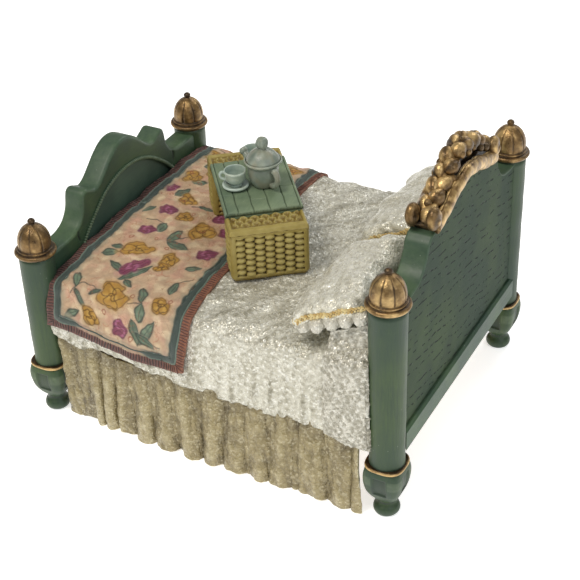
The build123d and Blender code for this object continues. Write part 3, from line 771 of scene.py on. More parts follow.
def footboard_relief(y, z):
    """Recessed field under the beaded arch, with a painted shadow line beside it and a carved line inside each ear
    that is darkened with painted shade.
    """
    inside = smoothstep(-0.4, 0.2, arch_height(y) - 0.6 - z) * smoothstep(23.0, 22.2, np.abs(y))
    line = smoothstep(1.2, 0.0, np.abs(arch_height(y) - z))
    from_curl = np.abs(np.abs(y) - 21.3 - 1.1 * np.sin((z - 41.0) * 0.55))
    ear = smoothstep(0.7, 0.1, from_curl) * smoothstep(41.0, 43.0, z)
    return 0.8 * inside + 0.35 * ear, 0.58 - 0.2 * line - 0.4 * ear


def make_boards():
    low, high = node_box("headboard_panel")
    make_board("shaped_headboard", headboard_outline(), low[2], high[0], low[0], 0.5, plain_relief,
               ["headboard_panel"], BOARD_PAINT, BACK_PAINT)
    low, high = node_box("footboard_panel")
    board = make_board("shaped_footboard", footboard_outline(), low[2], low[0], high[0], 0.9, footboard_relief,
                       ["footboard_panel"], BOARD_PAINT)
    repaint(board, FIELD_PAINT, lambda x, y, z: x > high[0] - 1.2 and abs(y) < 22.8 and z < arch_height(y) - 0.4)
    y = np.linspace(-21.2, 21.2, 400)
    x = high[0] + 0.05
    arch = evenly(np.stack([np.full(400, x), y, arch_height(y)], 1), 74)
    tangent = unit(np.gradient(arch, axis=0))
    beads = Shape()
    for place, along in zip(arch, tangent):
        lean = unit(along + 0.45 * np.cross((1.0, 0, 0), along))
        axes = np.array([lean, np.cross((1.0, 0, 0), lean), (1.0, 0, 0)])
        # Each bead's outward crown is set high and its base against the board low: painted highlight and painted
        # shade.
        value = 0.35 + 0.65 * np.clip(BALL[0][:, 2] + 0.35, 0, 1)
        add_blob(beads, place, axes, (0.42, 0.58, 0.55), relief=value)
    # The thin cord under the beads has relief 0.1 and shows near-black between them: painted shade.
    add_tube(beads, arch, 0.32, 8, relief=0.1)
    beads.build("footboard_beads", BOARD_PAINT, "bed", "painted_board", ["footboard_beading"])


# ---------------------------------------------------------------- crest of the headboard


def crest_height(y):
    """Height of the headboard's arch at y."""
    outline = headboard_outline()[::-1]
    inner = outline[np.abs(outline[:, 0]) < 20.5]
    return np.interp(y, inner[:, 0], inner[:, 1])


def make_crest():
    front, _ = node_box("crest_moulding_front")
    _, back = node_box("crest_moulding_back")
    make_moulding("crest_front", front[0] + 1.15, 1.1, "crest_moulding_front", 1.35)
    make_moulding("crest_back", back[0] - 1.15, 1.15, "crest_moulding_back", 1.7)
    for side, word in ((-1, "near"), (1, "far")):
        volutes = Shape()
        add_volute(volutes, side, front[0] + 1.6, 1.55)
        add_volute(volutes, side, back[0] - 1.6, 1.6)
        volutes.build(f"scrolls_{word}", GILT, "bed", "gilt", [f"crest_volutes_{word}"])
    make_garland()


def make_moulding(name, x, half_depth, node, half_height):
    """Bright hammered moulding along the arch, with a raised inner lip."""
    y = np.linspace(-17.4, 17.4, 300)
    line = np.stack([np.full(300, x), y, crest_height(y) + half_height - 0.5], 1)
    line[:, 2] += 0.08 * wobble(line, 5.0, 3)
    swell = 1 + 0.03 * wobble(line, 2.6, 9)
    turn = np.linspace(0, 2 * pi, 28, endpoint=False)[None, :]
    dents = points_of(half_height * np.cos(turn), y[:, None], half_height * np.sin(turn))
    # The relief is set high all round, and the raised lip below gets 1.0, so the moulding is painted bright: worn
    # gilding and painted highlight.
    value = np.clip(0.84 + 0.1 * np.sin(turn) + 0.07 * wobble(dents, 2.0, 19, 12), 0, 1)
    shape = add_tube(Shape(), line, half_height * swell, 28, half_depth / half_height, (1.0, 0, 0), value)
    lip = line + (0, 0, half_height * 0.72)
    lip[:, 0] -= half_depth * 0.45 * np.sign(x - HEADBOARD_MIDDLE)
    add_tube(shape, lip, 0.5 + 0.05 * wobble(line, 1.8, 13), 10, relief=1.0)
    shape.build(name, GILT, "bed", "gilt", [node])


def add_volute(shape, side, x, half_depth):
    """Plump egg-shaped boss that ends the crest, with one soft curl pressed into its outer face."""
    centre = node_centre("crest_volutes_near")
    y0, z0 = side * abs(centre[1]), centre[2]
    template = ball(24, 36)
    p = template[0]
    reach = np.hypot(p[:, 0], p[:, 1])
    swirl = np.cos(np.arctan2(p[:, 1], p[:, 0]) + 5.0 * reach) * smoothstep(0.95, 0.5, reach)
    value = np.clip(0.66 + 0.22 * swirl, 0, 1)
    axes = np.array([(0, side * 1.0, 0), (0, 0, 1.0), (1.0, 0, 0)])
    squeeze = (1 + 0.07 * swirl)[:, None]
    return add_blob(shape, (x, y0, z0), axes, (2.3, 2.75, half_depth), squeeze, value, template=template)


def make_garland():
    """Glossy fluted leaves and fruit in two overlapping rows between the mouldings, highest at the middle."""
    low, high = node_box("crest_garland")
    x = (low[0] + high[0]) / 2 - 0.2
    template = ball(22, 44)
    p = template[0]
    around = np.arctan2(p[:, 2], p[:, 0])
    top = [(-16.5, 69.9), (-11, 72.5), (-5, 75.2), (1, 78.1), (6, 77.2), (11, 75.0), (17, 72.0)]
    top = curve_through(top, 200)
    shape = Shape()
    rng = np.random.default_rng(28)
    for k, y in enumerate(np.linspace(-15.6, 16.2, 17)):
        front = (-1) ** k
        z = float(np.interp(y, top[:, 0], top[:, 1])) - 1.5 - 0.5 * (k % 3 == 1)
        along = unit(np.array([0.35 * front, 1.0, rng.uniform(0.25, 0.8) * (1 if y < 1 else -0.6)]))
        up = unit(np.cross(along, (1.0, 0, 0)))
        up = up * np.sign(up[2])
        axes = np.array([unit(np.cross(up, along)), along, up])
        flutes = np.abs(np.cos(1.5 * around + 0.8 * k)) ** 0.6 if k % 4 else np.ones(len(p))
        # Each leaf is painted lighter on its upper side and darker in its flutes: painted highlight, and patina
        # with painted shade.
        value = np.clip(0.36 + 0.56 * np.clip(p[:, 2] + 0.2, 0, 1) - 0.5 * (1 - flutes), 0, 1)
        pinch = (0.84 + 0.16 * flutes) * (1 - 0.4 * smoothstep(-0.3, 1.0, p[:, 1] * front) ** 1.5)
        squeeze = np.stack([pinch, np.ones(len(p)), pinch], 1)
        sizes = (1.75 + rng.uniform(-0.1, 0.25), 2.5 + rng.uniform(-0.3, 0.4), 2.0 + rng.uniform(-0.2, 0.3))
        add_blob(shape, (x + 0.95 * front, y, z), axes, sizes, squeeze, value, template=template)
    for y in np.linspace(-14.0, 17.0, 12):
        for shift in (-2.0, 0.0, 1.9):
            z = float(np.interp(y, top[:, 0], top[:, 1])) - rng.uniform(1.5, 3.4) + 1.1 * (shift == 0)
            spot = (x + shift, y + rng.uniform(-0.9, 0.9), z)
            add_blob(shape, spot, np.eye(3), np.full(3, rng.uniform(0.65, 1.05)), relief=0.6)
    base = np.stack([np.full(120, x), np.linspace(-17.4, 17.4, 120), np.zeros(120)], 1)
    base[:, 2] = crest_height(base[:, 1]) + 0.9
    # The bed under the leaves has relief 0.08, so it shows near-black in the gaps: painted shade, with patina.
    add_tube(shape, base, 1.1, 12, 1.9, (1.0, 0, 0), 0.08)
    shape.build("garland", GILT, "bed", "gilt", ["crest_garland"])


# ---------------------------------------------------------------- skirt and bedclothes


def make_skirt(word, side, seed):
    """Gathered valance: broad uneven folds that start under the coverlet and open towards the hem."""
    rng = np.random.default_rng(seed)
    low, high = node_box(f"bed_skirt_{word}")
    count, rows = 640, 80
    x = np.linspace(low[0], high[0], count)
    gaps = rng.uniform(0.6, 1.5, 13)
    seams = low[0] + (high[0] - low[0]) * np.cumsum(gaps) / gaps.sum()
    phase = np.interp(x, np.concatenate([[low[0]], seams]), np.arange(14) * 2 * pi)
    t = np.linspace(0, 1, rows)[None, :]
    top = (22.0 + 3.0 * smoothstep(-24.0, -36.0, x))[:, None]
    z = top * (1 - t)
    lean = 0.6 * wobble_along(x, 16.0, seed)[:, None]
    fold = np.cos(phase[:, None] + lean * 2.4 * t + 0.7 * np.sin(3 * t + phase[:, None] * 0.37))
    fold = 0.7 * fold + 0.3 * np.sign(fold) * np.abs(fold) ** 0.5
    minor = wobble(points_of(x[:, None], 0 * z, z * 0.12), 4.2, seed + 2, 12)
    spot = points_of(x[:, None], 0 * z, z * 0.5)
    crumple = wobble(spot, 2.1, seed + 1, 14)
    rough = wobble(spot, 1.0, seed + 3, 16)
    swell = 0.25 + 0.85 * t ** 0.8
    base = np.interp(x, [-43.6, -33, -22, -14, 45], [36.6, 36.8, 37.6, 38.8, 39.0])[:, None]
    out = 37.1 + (base - 37.1) * t + 0.5 * np.sin(pi * t)
    out = out + swell * (0.85 * fold + 0.34 * minor) + 0.17 * crumple + 0.06 * rough
    out = np.clip(out, 36.6, 41.2)
    x_all = np.clip(x[:, None] + swell * 0.45 * np.sin(phase[:, None]), low[0], high[0])
    x_all = x_all + 1.3 * t * smoothstep(9.0, 0.0, high[0] - x[:, None])
    curl = smoothstep(4.0, 0.0, x[:, None] - low[0]) * 0.9 + smoothstep(2.5, 0.0, high[0] - x[:, None]) * 0.3
    hem = 0.5 + 0.5 * wobble_along(x, 7.0, seed + 5)[:, None]
    z = z + 0.5 * np.clip(hem, 0, 1) * t ** 6
    points = points_of(x_all, side * (out - curl * t), z)
    # Fold crests and crumples raise the relief and troughs lower it: painted highlight and painted shade.
    relief = np.clip(0.56 + 0.22 * fold * (0.5 + 0.5 * t) + 0.12 * crumple + 0.14 * minor + 0.05 * rough, 0, 1)
    # Darker towards the top, under the coverlet's hem: painted shade.
    relief = relief * (1 - 0.45 * smoothstep(0.28, 0.0, t))
    shape = add_shell(Shape(), points if side < 0 else points[::-1], 0.7, relief if side < 0 else relief[::-1])
    skirt = shape.build(f"gathered_skirt_{word}", SKIRT, "bed", "skirt_cloth", [f"bed_skirt_{word}"])
    clamp_floor(skirt)


def clamp_floor(obj):
    """Nothing reaches under the floor."""
    for vertex in obj.data.vertices:
        vertex.co.z = max(vertex.co.z, 0.0)


class BedSection:
    """Line across the made bed, from the near hem up, over the mattress and down the far side."""

    def __init__(self, top, side, hem_out):
        self.top, self.side, self.hem_out = top, side, hem_out

    def line(self, near_hem, far_hem, count, rise=0.0):
        """(y, z) points; the hems are heights and rise lifts the top."""
        w, top = self.side, self.top + rise
        near = [(-self.hem_out, near_hem), (-w - 0.75 * (self.hem_out - w), near_hem + 5), (-w, 36.2),
                (-w + 0.75, top - 1.5), (-w + 2.6, top - 0.35), (-w + 7, top + 0.1)]
        crown = [(-w * 0.42, top + 0.75), (0, top + 0.95), (w * 0.42, top + 0.75)]
        far = [(-y, z) for y, z in near[::-1]]
        far[-2:] = [(w + 0.75 * (self.hem_out - w), far_hem + 5), (self.hem_out, far_hem)]
        return curve_through(near + crown + far, count)


def drape(section, x, near_hem, far_hem, count, rise=None):
    """Grid of points: one section line for each x."""
    grid = np.zeros((len(x), count, 3))
    for k, place in enumerate(x):
        line = section.line(near_hem[k], far_hem[k], count, 0.0 if rise is None else rise[k])
        grid[k, :, 0] = place
        grid[k, :, 1:] = line
    return grid


def make_coverlet():
    """Padded coverlet that swells under the pillows, with puckers, hanging wrinkles and a thick hem."""
    low, high = node_box("coverlet")
    section = BedSection(39.75, 37.3, 39.0)
    x = np.linspace(low[0] - 1.2, high[0] + 0.8, 420)
    ripple = 0.3 * wobble_along(x, 5.0, 21)
    stops = [-42, -34, -28, -18, -9, 0, 9, 15, 22, 28, 34, 42]
    near = [25.1, 23.5, 24.2, 22.5, 21.4, 20.6, 20.6, 19.8, 20.5, 20.3, 19.6, 20.0]
    far = [24.4, 23.8, 22.9, 22.6, 21.6, 21.2, 20.4, 20.5, 19.9, 20.6, 20.1, 20.0]
    near, far = np.interp(x, stops, near) + ripple, np.interp(x, stops, far) + ripple[::-1]
    rise = 0.43 * np.clip(x - 27.0, 0, None) - 0.4 * smoothstep(27, 30, x)
    grid = drape(section, x, near, far, 560, rise)
    normal = -surface_normals(grid)
    drop = smoothstep(38.0, 24.0, grid[..., 2])
    on_top = 1 - smoothstep(39.0, 37.0, grid[..., 2])
    waves = wobble(grid * (1, 1, 0.25), 11.0, 22) * 0.5 * drop
    lumps = wobble(grid, 8.0, 23) * (0.12 + 0.14 * on_top)
    slant = grid @ np.array([[0.8, 0.5, 0], [-0.6, 0.7, 0], [0, 0, 0.2]])
    creases = wobble(slant * (1, 0.35, 1), 3.4, 27, 12) * 0.16 * on_top
    creases += wobble(grid * (1, 0.3, 0.16), 2.8, 28, 14) * 0.26 * drop
    pucker = wobble(grid, 1.7, 24, 14) * 0.08 + wobble(grid * (1, 1, 0.5), 1.0, 25, 16) * 0.04
    thick_hem = 0.5 * smoothstep(2.0, 0.5, grid[..., 2] - near[:, None]) * drop
    covered = 1 - 0.8 * smoothstep(-4.0, -7.0, grid[..., 0]) * smoothstep(24.4, 26.4, grid[..., 2])
    grid += normal * ((waves + lumps + creases + pucker) * covered + thick_hem)[..., None]
    # Puckers, creases and waves raise the relief on their crests and lower it in the troughs: painted highlight
    # and painted shade.
    relief = np.clip(0.6 + 1.6 * pucker + 0.9 * creases + 0.12 * waves, 0, 1)
    shape = add_shell(Shape(), clear_of_posts(grid, 4.25), 0.8, relief)
    coverlet = shape.build("draped_coverlet", COVERLET, "bed", "coverlet_cloth", ["coverlet"])
    make_corner_fold()


def clear_of_posts(grid, radius):
    """Push points out of the four round columns."""
    for end in ("head", "foot"):
        for side in ("near", "far"):
            centre = node_centre(f"post_{end}_{side}")[:2]
            away = grid[..., :2] - centre
            distance = np.linalg.norm(away, axis=-1, keepdims=True)
            factor = np.where(distance < radius, radius / np.maximum(distance, 0.3), 1.0)
            grid[..., :2] = centre + away * factor
    return grid


def make_corner_fold():
    """Plump pebbled corner of the coverlet beside the headboard, tucked up under the pillow."""
    rows, columns = 240, 130
    t = np.linspace(0, 1, rows)[:, None]
    s = np.linspace(-1, 1, columns)[None, :]
    bottom = 18.7 + 1.2 * smoothstep(0.2, -1.0, s) + 1.6 * smoothstep(0.72, 1.0, s) ** 2
    x = 37.3 + (5.5 + 1.1 * t) * s + 0.5 * smoothstep(0.8, 1.0, t)
    top = 46.0 + 0.46 * (x - 31.5)
    z = top + (bottom - top) * t
    bulge = np.sqrt(np.clip(1 - np.abs(s) ** 4.0, 0, 1)) * (1 - 0.45 * smoothstep(0.9, 1.0, t))
    depth = (0.5 + 1.5 * smoothstep(0.0, 0.3, t)) * bulge
    y = -38.2 - depth
    y = y + 0.8 * np.clip(z - 41.0, 0, 4.0) * smoothstep(41.0, 43.5, z)
    grid = points_of(x, y, z)
    pebbles = np.clip(wobble(grid * (0.8, 0.4, 1), 1.05, 31, 18), -0.6, 1.2)
    grid[..., 1] -= 0.17 * pebbles * smoothstep(0.0, 0.3, bulge) + 0.12 * wobble(grid, 5.0, 32)
    # Pebble tops are lighter and the fold darkens towards its tucked edges: painted highlight and painted shade.
    relief = np.clip(0.5 + 0.3 * pebbles, 0, 1) * smoothstep(0.0, 0.35, bulge + 0 * t)
    shape = add_shell(Shape(), clear_of_posts(grid, 4.35), 0.9, relief)
    fold = shape.build("coverlet_corner", PEBBLED, "bed", "coverlet_cloth")


# ---------------------------------------------------------------- quilt

PEACH = "#bda081"
MUSTARD = "#a77b25"
MUSTARD_DARK = "#553708"
MAGENTA = "#762c4b"
MAGENTA_DARK = "#3d1029"
LEAF = "#4c6350"
LEAF_DARK = "#1f2e28"
BLUSH = "#b06f4e"


class Print:
    """Painted motifs on the flat cloth: x along the bed, s the distance from the near hem."""

    def __init__(self, x, s):
        spot = np.stack([x, s, 0 * x], -1)
        self.x = x + 0.16 * wobble(spot, 2.8, 93, 12)
        self.s = s + 0.16 * wobble(spot, 2.8, 95, 12)
        self.rgb = np.broadcast_to(np.array(colour(PEACH)[:3]), x.shape + (3,)).copy()
        self.raised = np.zeros(x.shape)
        self.smudge = wobble(spot, 2.6, 91, 12)
        self.paint(smoothstep(-0.2, 1.2, wobble(spot, 7.0, 92)), "#c8917e", 0.45)
        self.paint(smoothstep(0.1, 1.3, wobble(spot, 4.0, 97)), "#ddc9a4", 0.6)

    def paint(self, mask, shade, opacity=1.0):
        mask = (np.clip(mask, 0, 1) * opacity)[..., None]
        self.rgb = self.rgb * (1 - mask) + np.array(colour(shade)[:3]) * mask

    def outline(self, distance, shade, width=0.28, opacity=0.85):
        self.paint(smoothstep(width, width * 0.35, np.abs(distance)), shade, opacity)

    def local(self, x, s, turn):
        dx, ds = self.x - x, self.s - s
        c, n = cos(turn), sin(turn)
        return dx * c + ds * n, ds * c - dx * n

    def rose(self, x, s, wide, tall, turn=0.0):
        """Loose mustard bloom with painted petal lines, its edge bleeding into the cloth."""
        u, v = self.local(x, s, turn)
        r, a = np.hypot(u / wide, v / tall), np.arctan2(v, u)
        size = (wide + tall) / 2
        edge = 1 + 0.14 * np.cos(3 * a + turn * 3) + 0.08 * np.cos(5 * a + 1) + 0.08 * self.smudge
        self.paint(smoothstep(1.35, 0.9, r / edge), "#bf9a5c", 0.55)
        self.paint(smoothstep(1.08, 0.84, r / edge), MUSTARD, 0.9)
        self.paint(smoothstep(1.0, 0.2, r / edge) * (0.5 + 0.5 * np.cos(3 * a + 4 * r + turn)), "#cda550", 0.75)
        self.outline((r / edge - 0.96) * size, MUSTARD_DARK, 0.26, 0.6)
        inside = r < 0.95 * edge
        for k in range(3):
            pu, pv = u / wide - 0.40 * cos(turn + 2.1 * k), v / tall - 0.40 * sin(turn + 2.1 * k)
            petal = np.hypot(pu, pv) - 0.44 - 0.09 * np.cos(3 * np.arctan2(pv, pu) + k)
            self.outline(np.where(inside, petal * size, 9), MUSTARD_DARK, 0.24, 0.75)
        self.raised = np.maximum(self.raised, smoothstep(1.05, 0.7, r / edge))

    def bud(self, x, s, wide, tall, turn):
        """Magenta bloom drawn with curled darker strokes."""
        u, v = self.local(x, s, turn)
        r, a = np.hypot(u / wide, v / tall), np.arctan2(v, u)
        size = (wide + tall) / 2
        edge = 1 + 0.1 * np.cos(5 * a + turn) + 0.1 * self.smudge
        self.paint(smoothstep(1.3, 0.85, r / edge), "#a5687a", 0.6)
        self.paint(smoothstep(1.04, 0.88, r / edge), MAGENTA, 0.9)
        self.paint(smoothstep(0.4, 1.0, np.sin(6 * r + 2 * a)) * (r < 0.85), "#ab6484", 0.8)
        self.outline((r / edge - 0.97) * size, MAGENTA_DARK, 0.2, 0.55)
        curl = np.sin(7.0 * v / tall + 1.4 * np.sin(3.2 * u / wide)) * 0.35
        self.outline(np.where(r < 0.9, curl, 9), MAGENTA_DARK, 0.17, 0.6)
        self.raised = np.maximum(self.raised, smoothstep(1.05, 0.75, r / edge))

    def leaf(self, x, s, x2, s2, wide):
        """Pointed leaf from one end to the other, outlined, with a middle vein."""
        length, turn = sqrt((x2 - x) ** 2 + (s2 - s) ** 2), np.arctan2(s2 - s, x2 - x)
        u, v = self.local(x, s, turn)
        p = np.clip(u / length, 0, 1)
        half = wide * np.sin(pi * p ** 0.85) ** 0.8
        inside = smoothstep(0.2, -0.2, np.abs(v) - half) * (u > 0) * (u < length)
        self.paint(smoothstep(0.8, 0.0, np.abs(v) - half) * (u > -0.3) * (u < length + 0.3), "#8f9079", 0.45)
        self.paint(inside, LEAF, 0.9)
        self.paint(inside * smoothstep(-0.3, 0.9, self.smudge), "#768a70", 0.75)
        near = (u > -0.2) & (u < length + 0.2)
        self.outline(np.where(near, np.abs(v) - half, 9), LEAF_DARK, 0.30, 0.75)
        self.outline(np.where((u > 0) & (u < length * 0.85), v, 9), LEAF_DARK, 0.19, 0.55)
        self.raised = np.maximum(self.raised, inside * 0.8)

    def stem(self, x, s, x2, s2, bend=0.25, shade=LEAF_DARK, width=0.30, opacity=0.75):
        length, turn = sqrt((x2 - x) ** 2 + (s2 - s) ** 2), np.arctan2(s2 - s, x2 - x)
        u, v = self.local(x, s, turn)
        on = (u > 0) & (u < length)
        bow = bend * length * np.sin(pi * np.clip(u / length, 0, 1))
        self.outline(np.where(on, v - bow, 9), shade, width, opacity)

    def dot(self, x, s):
        r = np.hypot(self.x - x, self.s - s)
        self.outline(r - 0.5, "#8f4a2c", 0.2, 0.8)

    def border(self, inset):
        """Teal and burgundy bands under the braid and the fringe, worn into the cloth."""
        kept = 1 - 0.75 * worn_hem(self.x) * (self.s < 7)
        self.paint(smoothstep(6.0, 4.0, inset + 0.5 * self.smudge) * kept, "#97917a", 0.7)
        self.paint(smoothstep(4.5, 4.0, inset + 0.15 * self.smudge) * kept, "#2c403b", 0.95)
        rust = smoothstep(-12.0, -7.0, self.x)
        self.paint(smoothstep(2.1, 1.9, inset), "#6e4a42", 1.0)
        self.paint(smoothstep(2.1, 1.9, inset) * rust, "#8c5c45", 1.0)


def paint_quilt(cloth):
    """Mustard roses, magenta blooms and green sprigs over the side drop and the top."""
    rng = np.random.default_rng(12)
    for _ in range(150):
        x, s, reach = rng.uniform(-40, -4), rng.uniform(1, 107), rng.uniform(1.0, 3.0)
        turn = rng.uniform(0, 2 * pi)
        cloth.stem(x, s, x + reach * cos(turn), s + reach * sin(turn), rng.uniform(-0.5, 0.5), BLUSH, 0.17, 0.6)
    sprigs = [  # leaf from, to, half width
        (-36.8, 17.2, -34.9, 12.9, 1.1), (-34.9, 12.4, -31.6, 8.6, 0.8), (-36.8, 4.6, -33.2, 7.4, 0.9),
        (-18.9, 20.6, -16.5, 15.8, 1.0), (-16.2, 15.6, -16.6, 10.8, 1.3), (-18.9, 10.8, -16.6, 5.0, 1.2),
        (-16.4, 5.4, -12.6, 12.2, 1.2), (-17.4, 7.8, -12.4, 5.0, 0.9), (-12.2, 21.4, -12.4, 25.8, 1.0),
        (-32.2, 24.6, -26.0, 22.6, 0.9), (-26.6, 20.0, -21.6, 28.6, 0.9), (-24.8, 20.9, -22.0, 19.6, 0.9),
        (-36.2, 26.2, -32.6, 28.8, 1.3), (-35.8, 30.2, -32.4, 31.0, 0.9), (-28.4, 45.0, -28.6, 41.0, 1.1),
        (-24.0, 39.0, -22.8, 44.4, 1.5), (-23.6, 38.8, -17.6, 38.6, 1.3), (-33.8, 57.2, -31.6, 61.8, 1.4),
        (-37.2, 46.6, -35.6, 50.0, 1.0), (-33.4, 65.2, -29.6, 67.0, 1.1), (-25.0, 56.4, -20.4, 56.6, 0.7),
        (-13.6, 31.0, -10.4, 33.4, 0.9), (-35.0, 74.0, -31.2, 76.6, 1.2), (-23.0, 70.4, -19.0, 68.4, 1.1),
        (-15.0, 62.4, -11.4, 65.4, 1.1), (-27.2, 82.0, -23.6, 84.6, 1.1), (-37.4, 88.6, -33.4, 87.0, 1.1),
        (-17.2, 79.6, -13.6, 77.4, 1.1), (-29.2, 93.2, -25.4, 95.2, 1.2), (-14.6, 91.2, -11.2, 94.4, 1.1),
        (-36.0, 99.0, -32.4, 101.0, 1.0), (-20.6, 100.4, -16.8, 98.6, 1.0)]
    stems = [(-35.9, 10.6, -29.2, 14.2, 0.3), (-20.0, 14.4, -16.2, 15.6, 0.1), (-15.6, 8.2, -10.6, 5.6, -0.12),
             (-12.4, 25.8, -9.6, 28.4, 0.1), (-34.2, 43.8, -28.6, 44.6, 0.12), (-23.8, 39.2, -18.2, 45.6, 0.0),
             (-26.6, 55.2, -22.2, 57.4, 0.0), (-35.4, 70.6, -33.0, 66.4, 0.2), (-21.0, 66.8, -17.4, 71.6, 0.2),
             (-25.2, 84.8, -21.0, 88.0, 0.2), (-13.4, 66.4, -9.6, 69.8, -0.2), (-36.4, 84.6, -32.8, 80.8, 0.2)]
    roses = [(-24.9, 14.9, 4.0, 3.9, 0.3), (-30.0, 7.0, 2.2, 2.4, 1.4), (-11.9, 16.8, 2.2, 2.7, 0.8),
             (-29.4, 32.2, 4.4, 2.4, 0.55), (-19.3, 32.8, 2.8, 2.2, 1.9), (-19.4, 29.4, 1.7, 1.8, 0.2),
             (-18.2, 47.0, 3.6, 3.4, 1.1), (-26.0, 50.2, 2.3, 1.8, 0.5), (-29.6, 57.2, 2.8, 2.2, 2.6),
             (-34.8, 67.6, 2.9, 2.6, 1.9), (-30.0, 72.8, 2.5, 2.4, 0.9), (-13.8, 57.6, 2.7, 2.6, 0.1),
             (-19.6, 63.0, 2.6, 2.4, 2.2), (-36.6, 80.6, 2.7, 2.5, 1.3), (-22.0, 77.4, 3.2, 2.9, 0.7),
             (-31.4, 87.6, 2.9, 2.7, 2.1), (-13.2, 84.6, 3.0, 2.8, 0.4), (-21.0, 94.4, 2.9, 2.8, 1.7),
             (-10.4, 73.4, 2.3, 2.2, 1.0), (-36.0, 94.4, 2.5, 2.4, 0.3), (-28.0, 101.2, 2.6, 2.4, 2.0)]
    buds = [(-21.8, 7.4, 2.0, 2.6, 0.2), (-26.0, 26.0, 5.2, 1.7, 1.05), (-31.7, 40.2, 2.4, 1.9, 0.3),
            (-31.5, 50.5, 2.6, 1.9, 0.4), (-12.2, 38.6, 2.9, 2.1, 0.5), (-17.0, 53.8, 1.9, 1.9, 0.2),
            (-36.6, 60.2, 2.1, 1.7, 0.9), (-25.2, 66.2, 2.3, 1.9, 1.2), (-12.4, 49.0, 2.0, 1.8, 0.6),
            (-28.6, 78.6, 2.2, 1.9, 2.7), (-15.6, 72.4, 2.2, 1.9, 1.0), (-18.8, 86.8, 2.2, 1.9, 0.4),
            (-34.0, 91.6, 1.9, 1.8, 0.2), (-12.0, 100.4, 2.0, 1.9, 0.8)]
    for x, s, x2, s2, bend in stems:
        cloth.stem(x, s, x2, s2, bend)
    for piece in sprigs:
        cloth.leaf(*piece)
    for piece in buds:
        cloth.bud(*piece)
    for piece in roses:
        cloth.rose(*piece)
    cloth.leaf(-30.6, 12.6, -28.2, 14.6, 0.5)
    for x, s in ((-19.9, 16.8), (-10.3, 18.8), (-26.4, 9.7), (-18.8, 5.8), (-22.6, 36.6), (-27.2, 38.2),
                 (-33.2, 35.4)):
        cloth.dot(x, s)
    for _ in range(20):
        cloth.dot(rng.uniform(-38, -10), rng.uniform(42, 100))


def worn_hem(x):
    """1 along the middle of the near hem, where the braid is all but rubbed away."""
    return smoothstep(-36.0, -32.0, x) * smoothstep(-13.5, -17.0, x)


def quilt_edge(s):
    """X of the quilt's free edge, by distance from the near hem."""
    return np.interp(s, [0, 7, 14, 18, 24, 31, 40, 62, 76, 84, 92, 99, 108],
                     [-4.6, -3.9, -3.0, -3.4, -4.2, -4.4, -4.0, -4.6, -5.2, -5.0, -4.2, -4.0, -5.0])


def make_quilt():
    """Printed quilt over the foot half, with a braid and a fringe round it."""
    section = BedSection(40.6, 38.2, 40.0)
    columns, rows = 190, 620
    u = np.linspace(0, 1, columns)
    near = np.interp(u, [0, 0.15, 0.35, 0.5, 0.7, 0.85, 1], [28.4, 28.2, 27.0, 25.6, 25.0, 24.8, 25.8])
    far = np.interp(u, [0, 0.5, 1], [26.0, 25.0, 24.6])
    grid = drape(section, np.zeros(columns), near, far, rows)
    step = np.linalg.norm(np.diff(grid, axis=1), axis=-1)
    s = np.concatenate([np.zeros((columns, 1)), np.cumsum(step, axis=1)], axis=1)
    left = -42.6 + 0.25 * np.sin(s * 0.4)
    grid[..., 0] = left + (quilt_edge(s) - left) * u[:, None]
    normal = -surface_normals(grid)
    drop = smoothstep(38.0, 26.0, grid[..., 2])
    waves = 0.4 * wobble(grid * (1, 1, 0.3), 12.0, 41) * drop
    lumps = 0.16 * wobble(grid, 6.0, 42) + 0.05 * wobble(grid, 1.8, 43, 14)
    cloth = Print(grid[..., 0], s)
    paint_quilt(cloth)
    inset = np.minimum(np.minimum(quilt_edge(s) - grid[..., 0], grid[..., 0] - left), np.minimum(s, s[:, -1:] - s))
    cloth.border(inset)
    lift = 0.30 * smoothstep(4.2, 3.4, inset)
    grid += normal * (waves + lumps + 0.16 * cloth.raised + lift)[..., None]
    grid = clear_of_posts(grid, 4.35)
    shape = add_shell(Shape(), grid, 0.9, np.full(s.shape, 0.62))
    quilt = shape.build("draped_quilt", QUILT, "bed", "quilt_cloth", ["quilt"])
    print_points(quilt, grid, cloth.rgb)
    trim_pieces = make_quilt_trim(grid, surface_normals(grid) * -1)


def print_points(obj, grid, rgb):
    """Carry the painted colours to the mesh by nearest grid point."""
    flat, shades = grid.reshape(-1, 3) * MM, rgb.reshape(-1, 3)
    tree = KDTree(len(flat))
    for index, point in enumerate(flat):
        tree.insert(point, index)
    tree.balance()
    found = np.array([tree.find(v.co)[1] for v in obj.data.vertices])
    values = np.concatenate([shades[found], np.ones((len(found), 1))], axis=1)
    obj.data.attributes.new("print", "FLOAT_COLOR", "POINT").data.foreach_set("color", values.ravel())


def border_line(grid, normal, inset, spacing):
    """Even points round the quilt, set in from its edges by a distance, with their normals."""
    columns, rows = grid.shape[:2]
    width = np.linalg.norm(grid[-1, rows // 2] - grid[0, rows // 2])
    k = max(1, round(inset / width * columns))
    length = steps(grid[columns // 2]).sum()
    m = max(1, round(inset / length * rows))
    path = [(k, j) for j in range(rows // 2, m, -1)] + [(i, m) for i in range(k, columns - k)]
    path += [(columns - 1 - k, j) for j in range(m, rows - m)]
    path += [(i, rows - 1 - m) for i in range(columns - 1 - k, k, -1)]
    path += [(k, j) for j in range(rows - 1 - m, rows // 2, -1)]
    path = np.array(path)
    points, normals = grid[path[:, 0], path[:, 1]], normal[path[:, 0], path[:, 1]]
    keep = np.concatenate([[True], steps(points) > 1e-6])
    points, normals = points[keep], normals[keep]
    found = evenly(np.hstack([points, normals]), max(8, int(steps(points).sum() / spacing)), 3)
    return found[:, :3], unit(found[:, 3:])


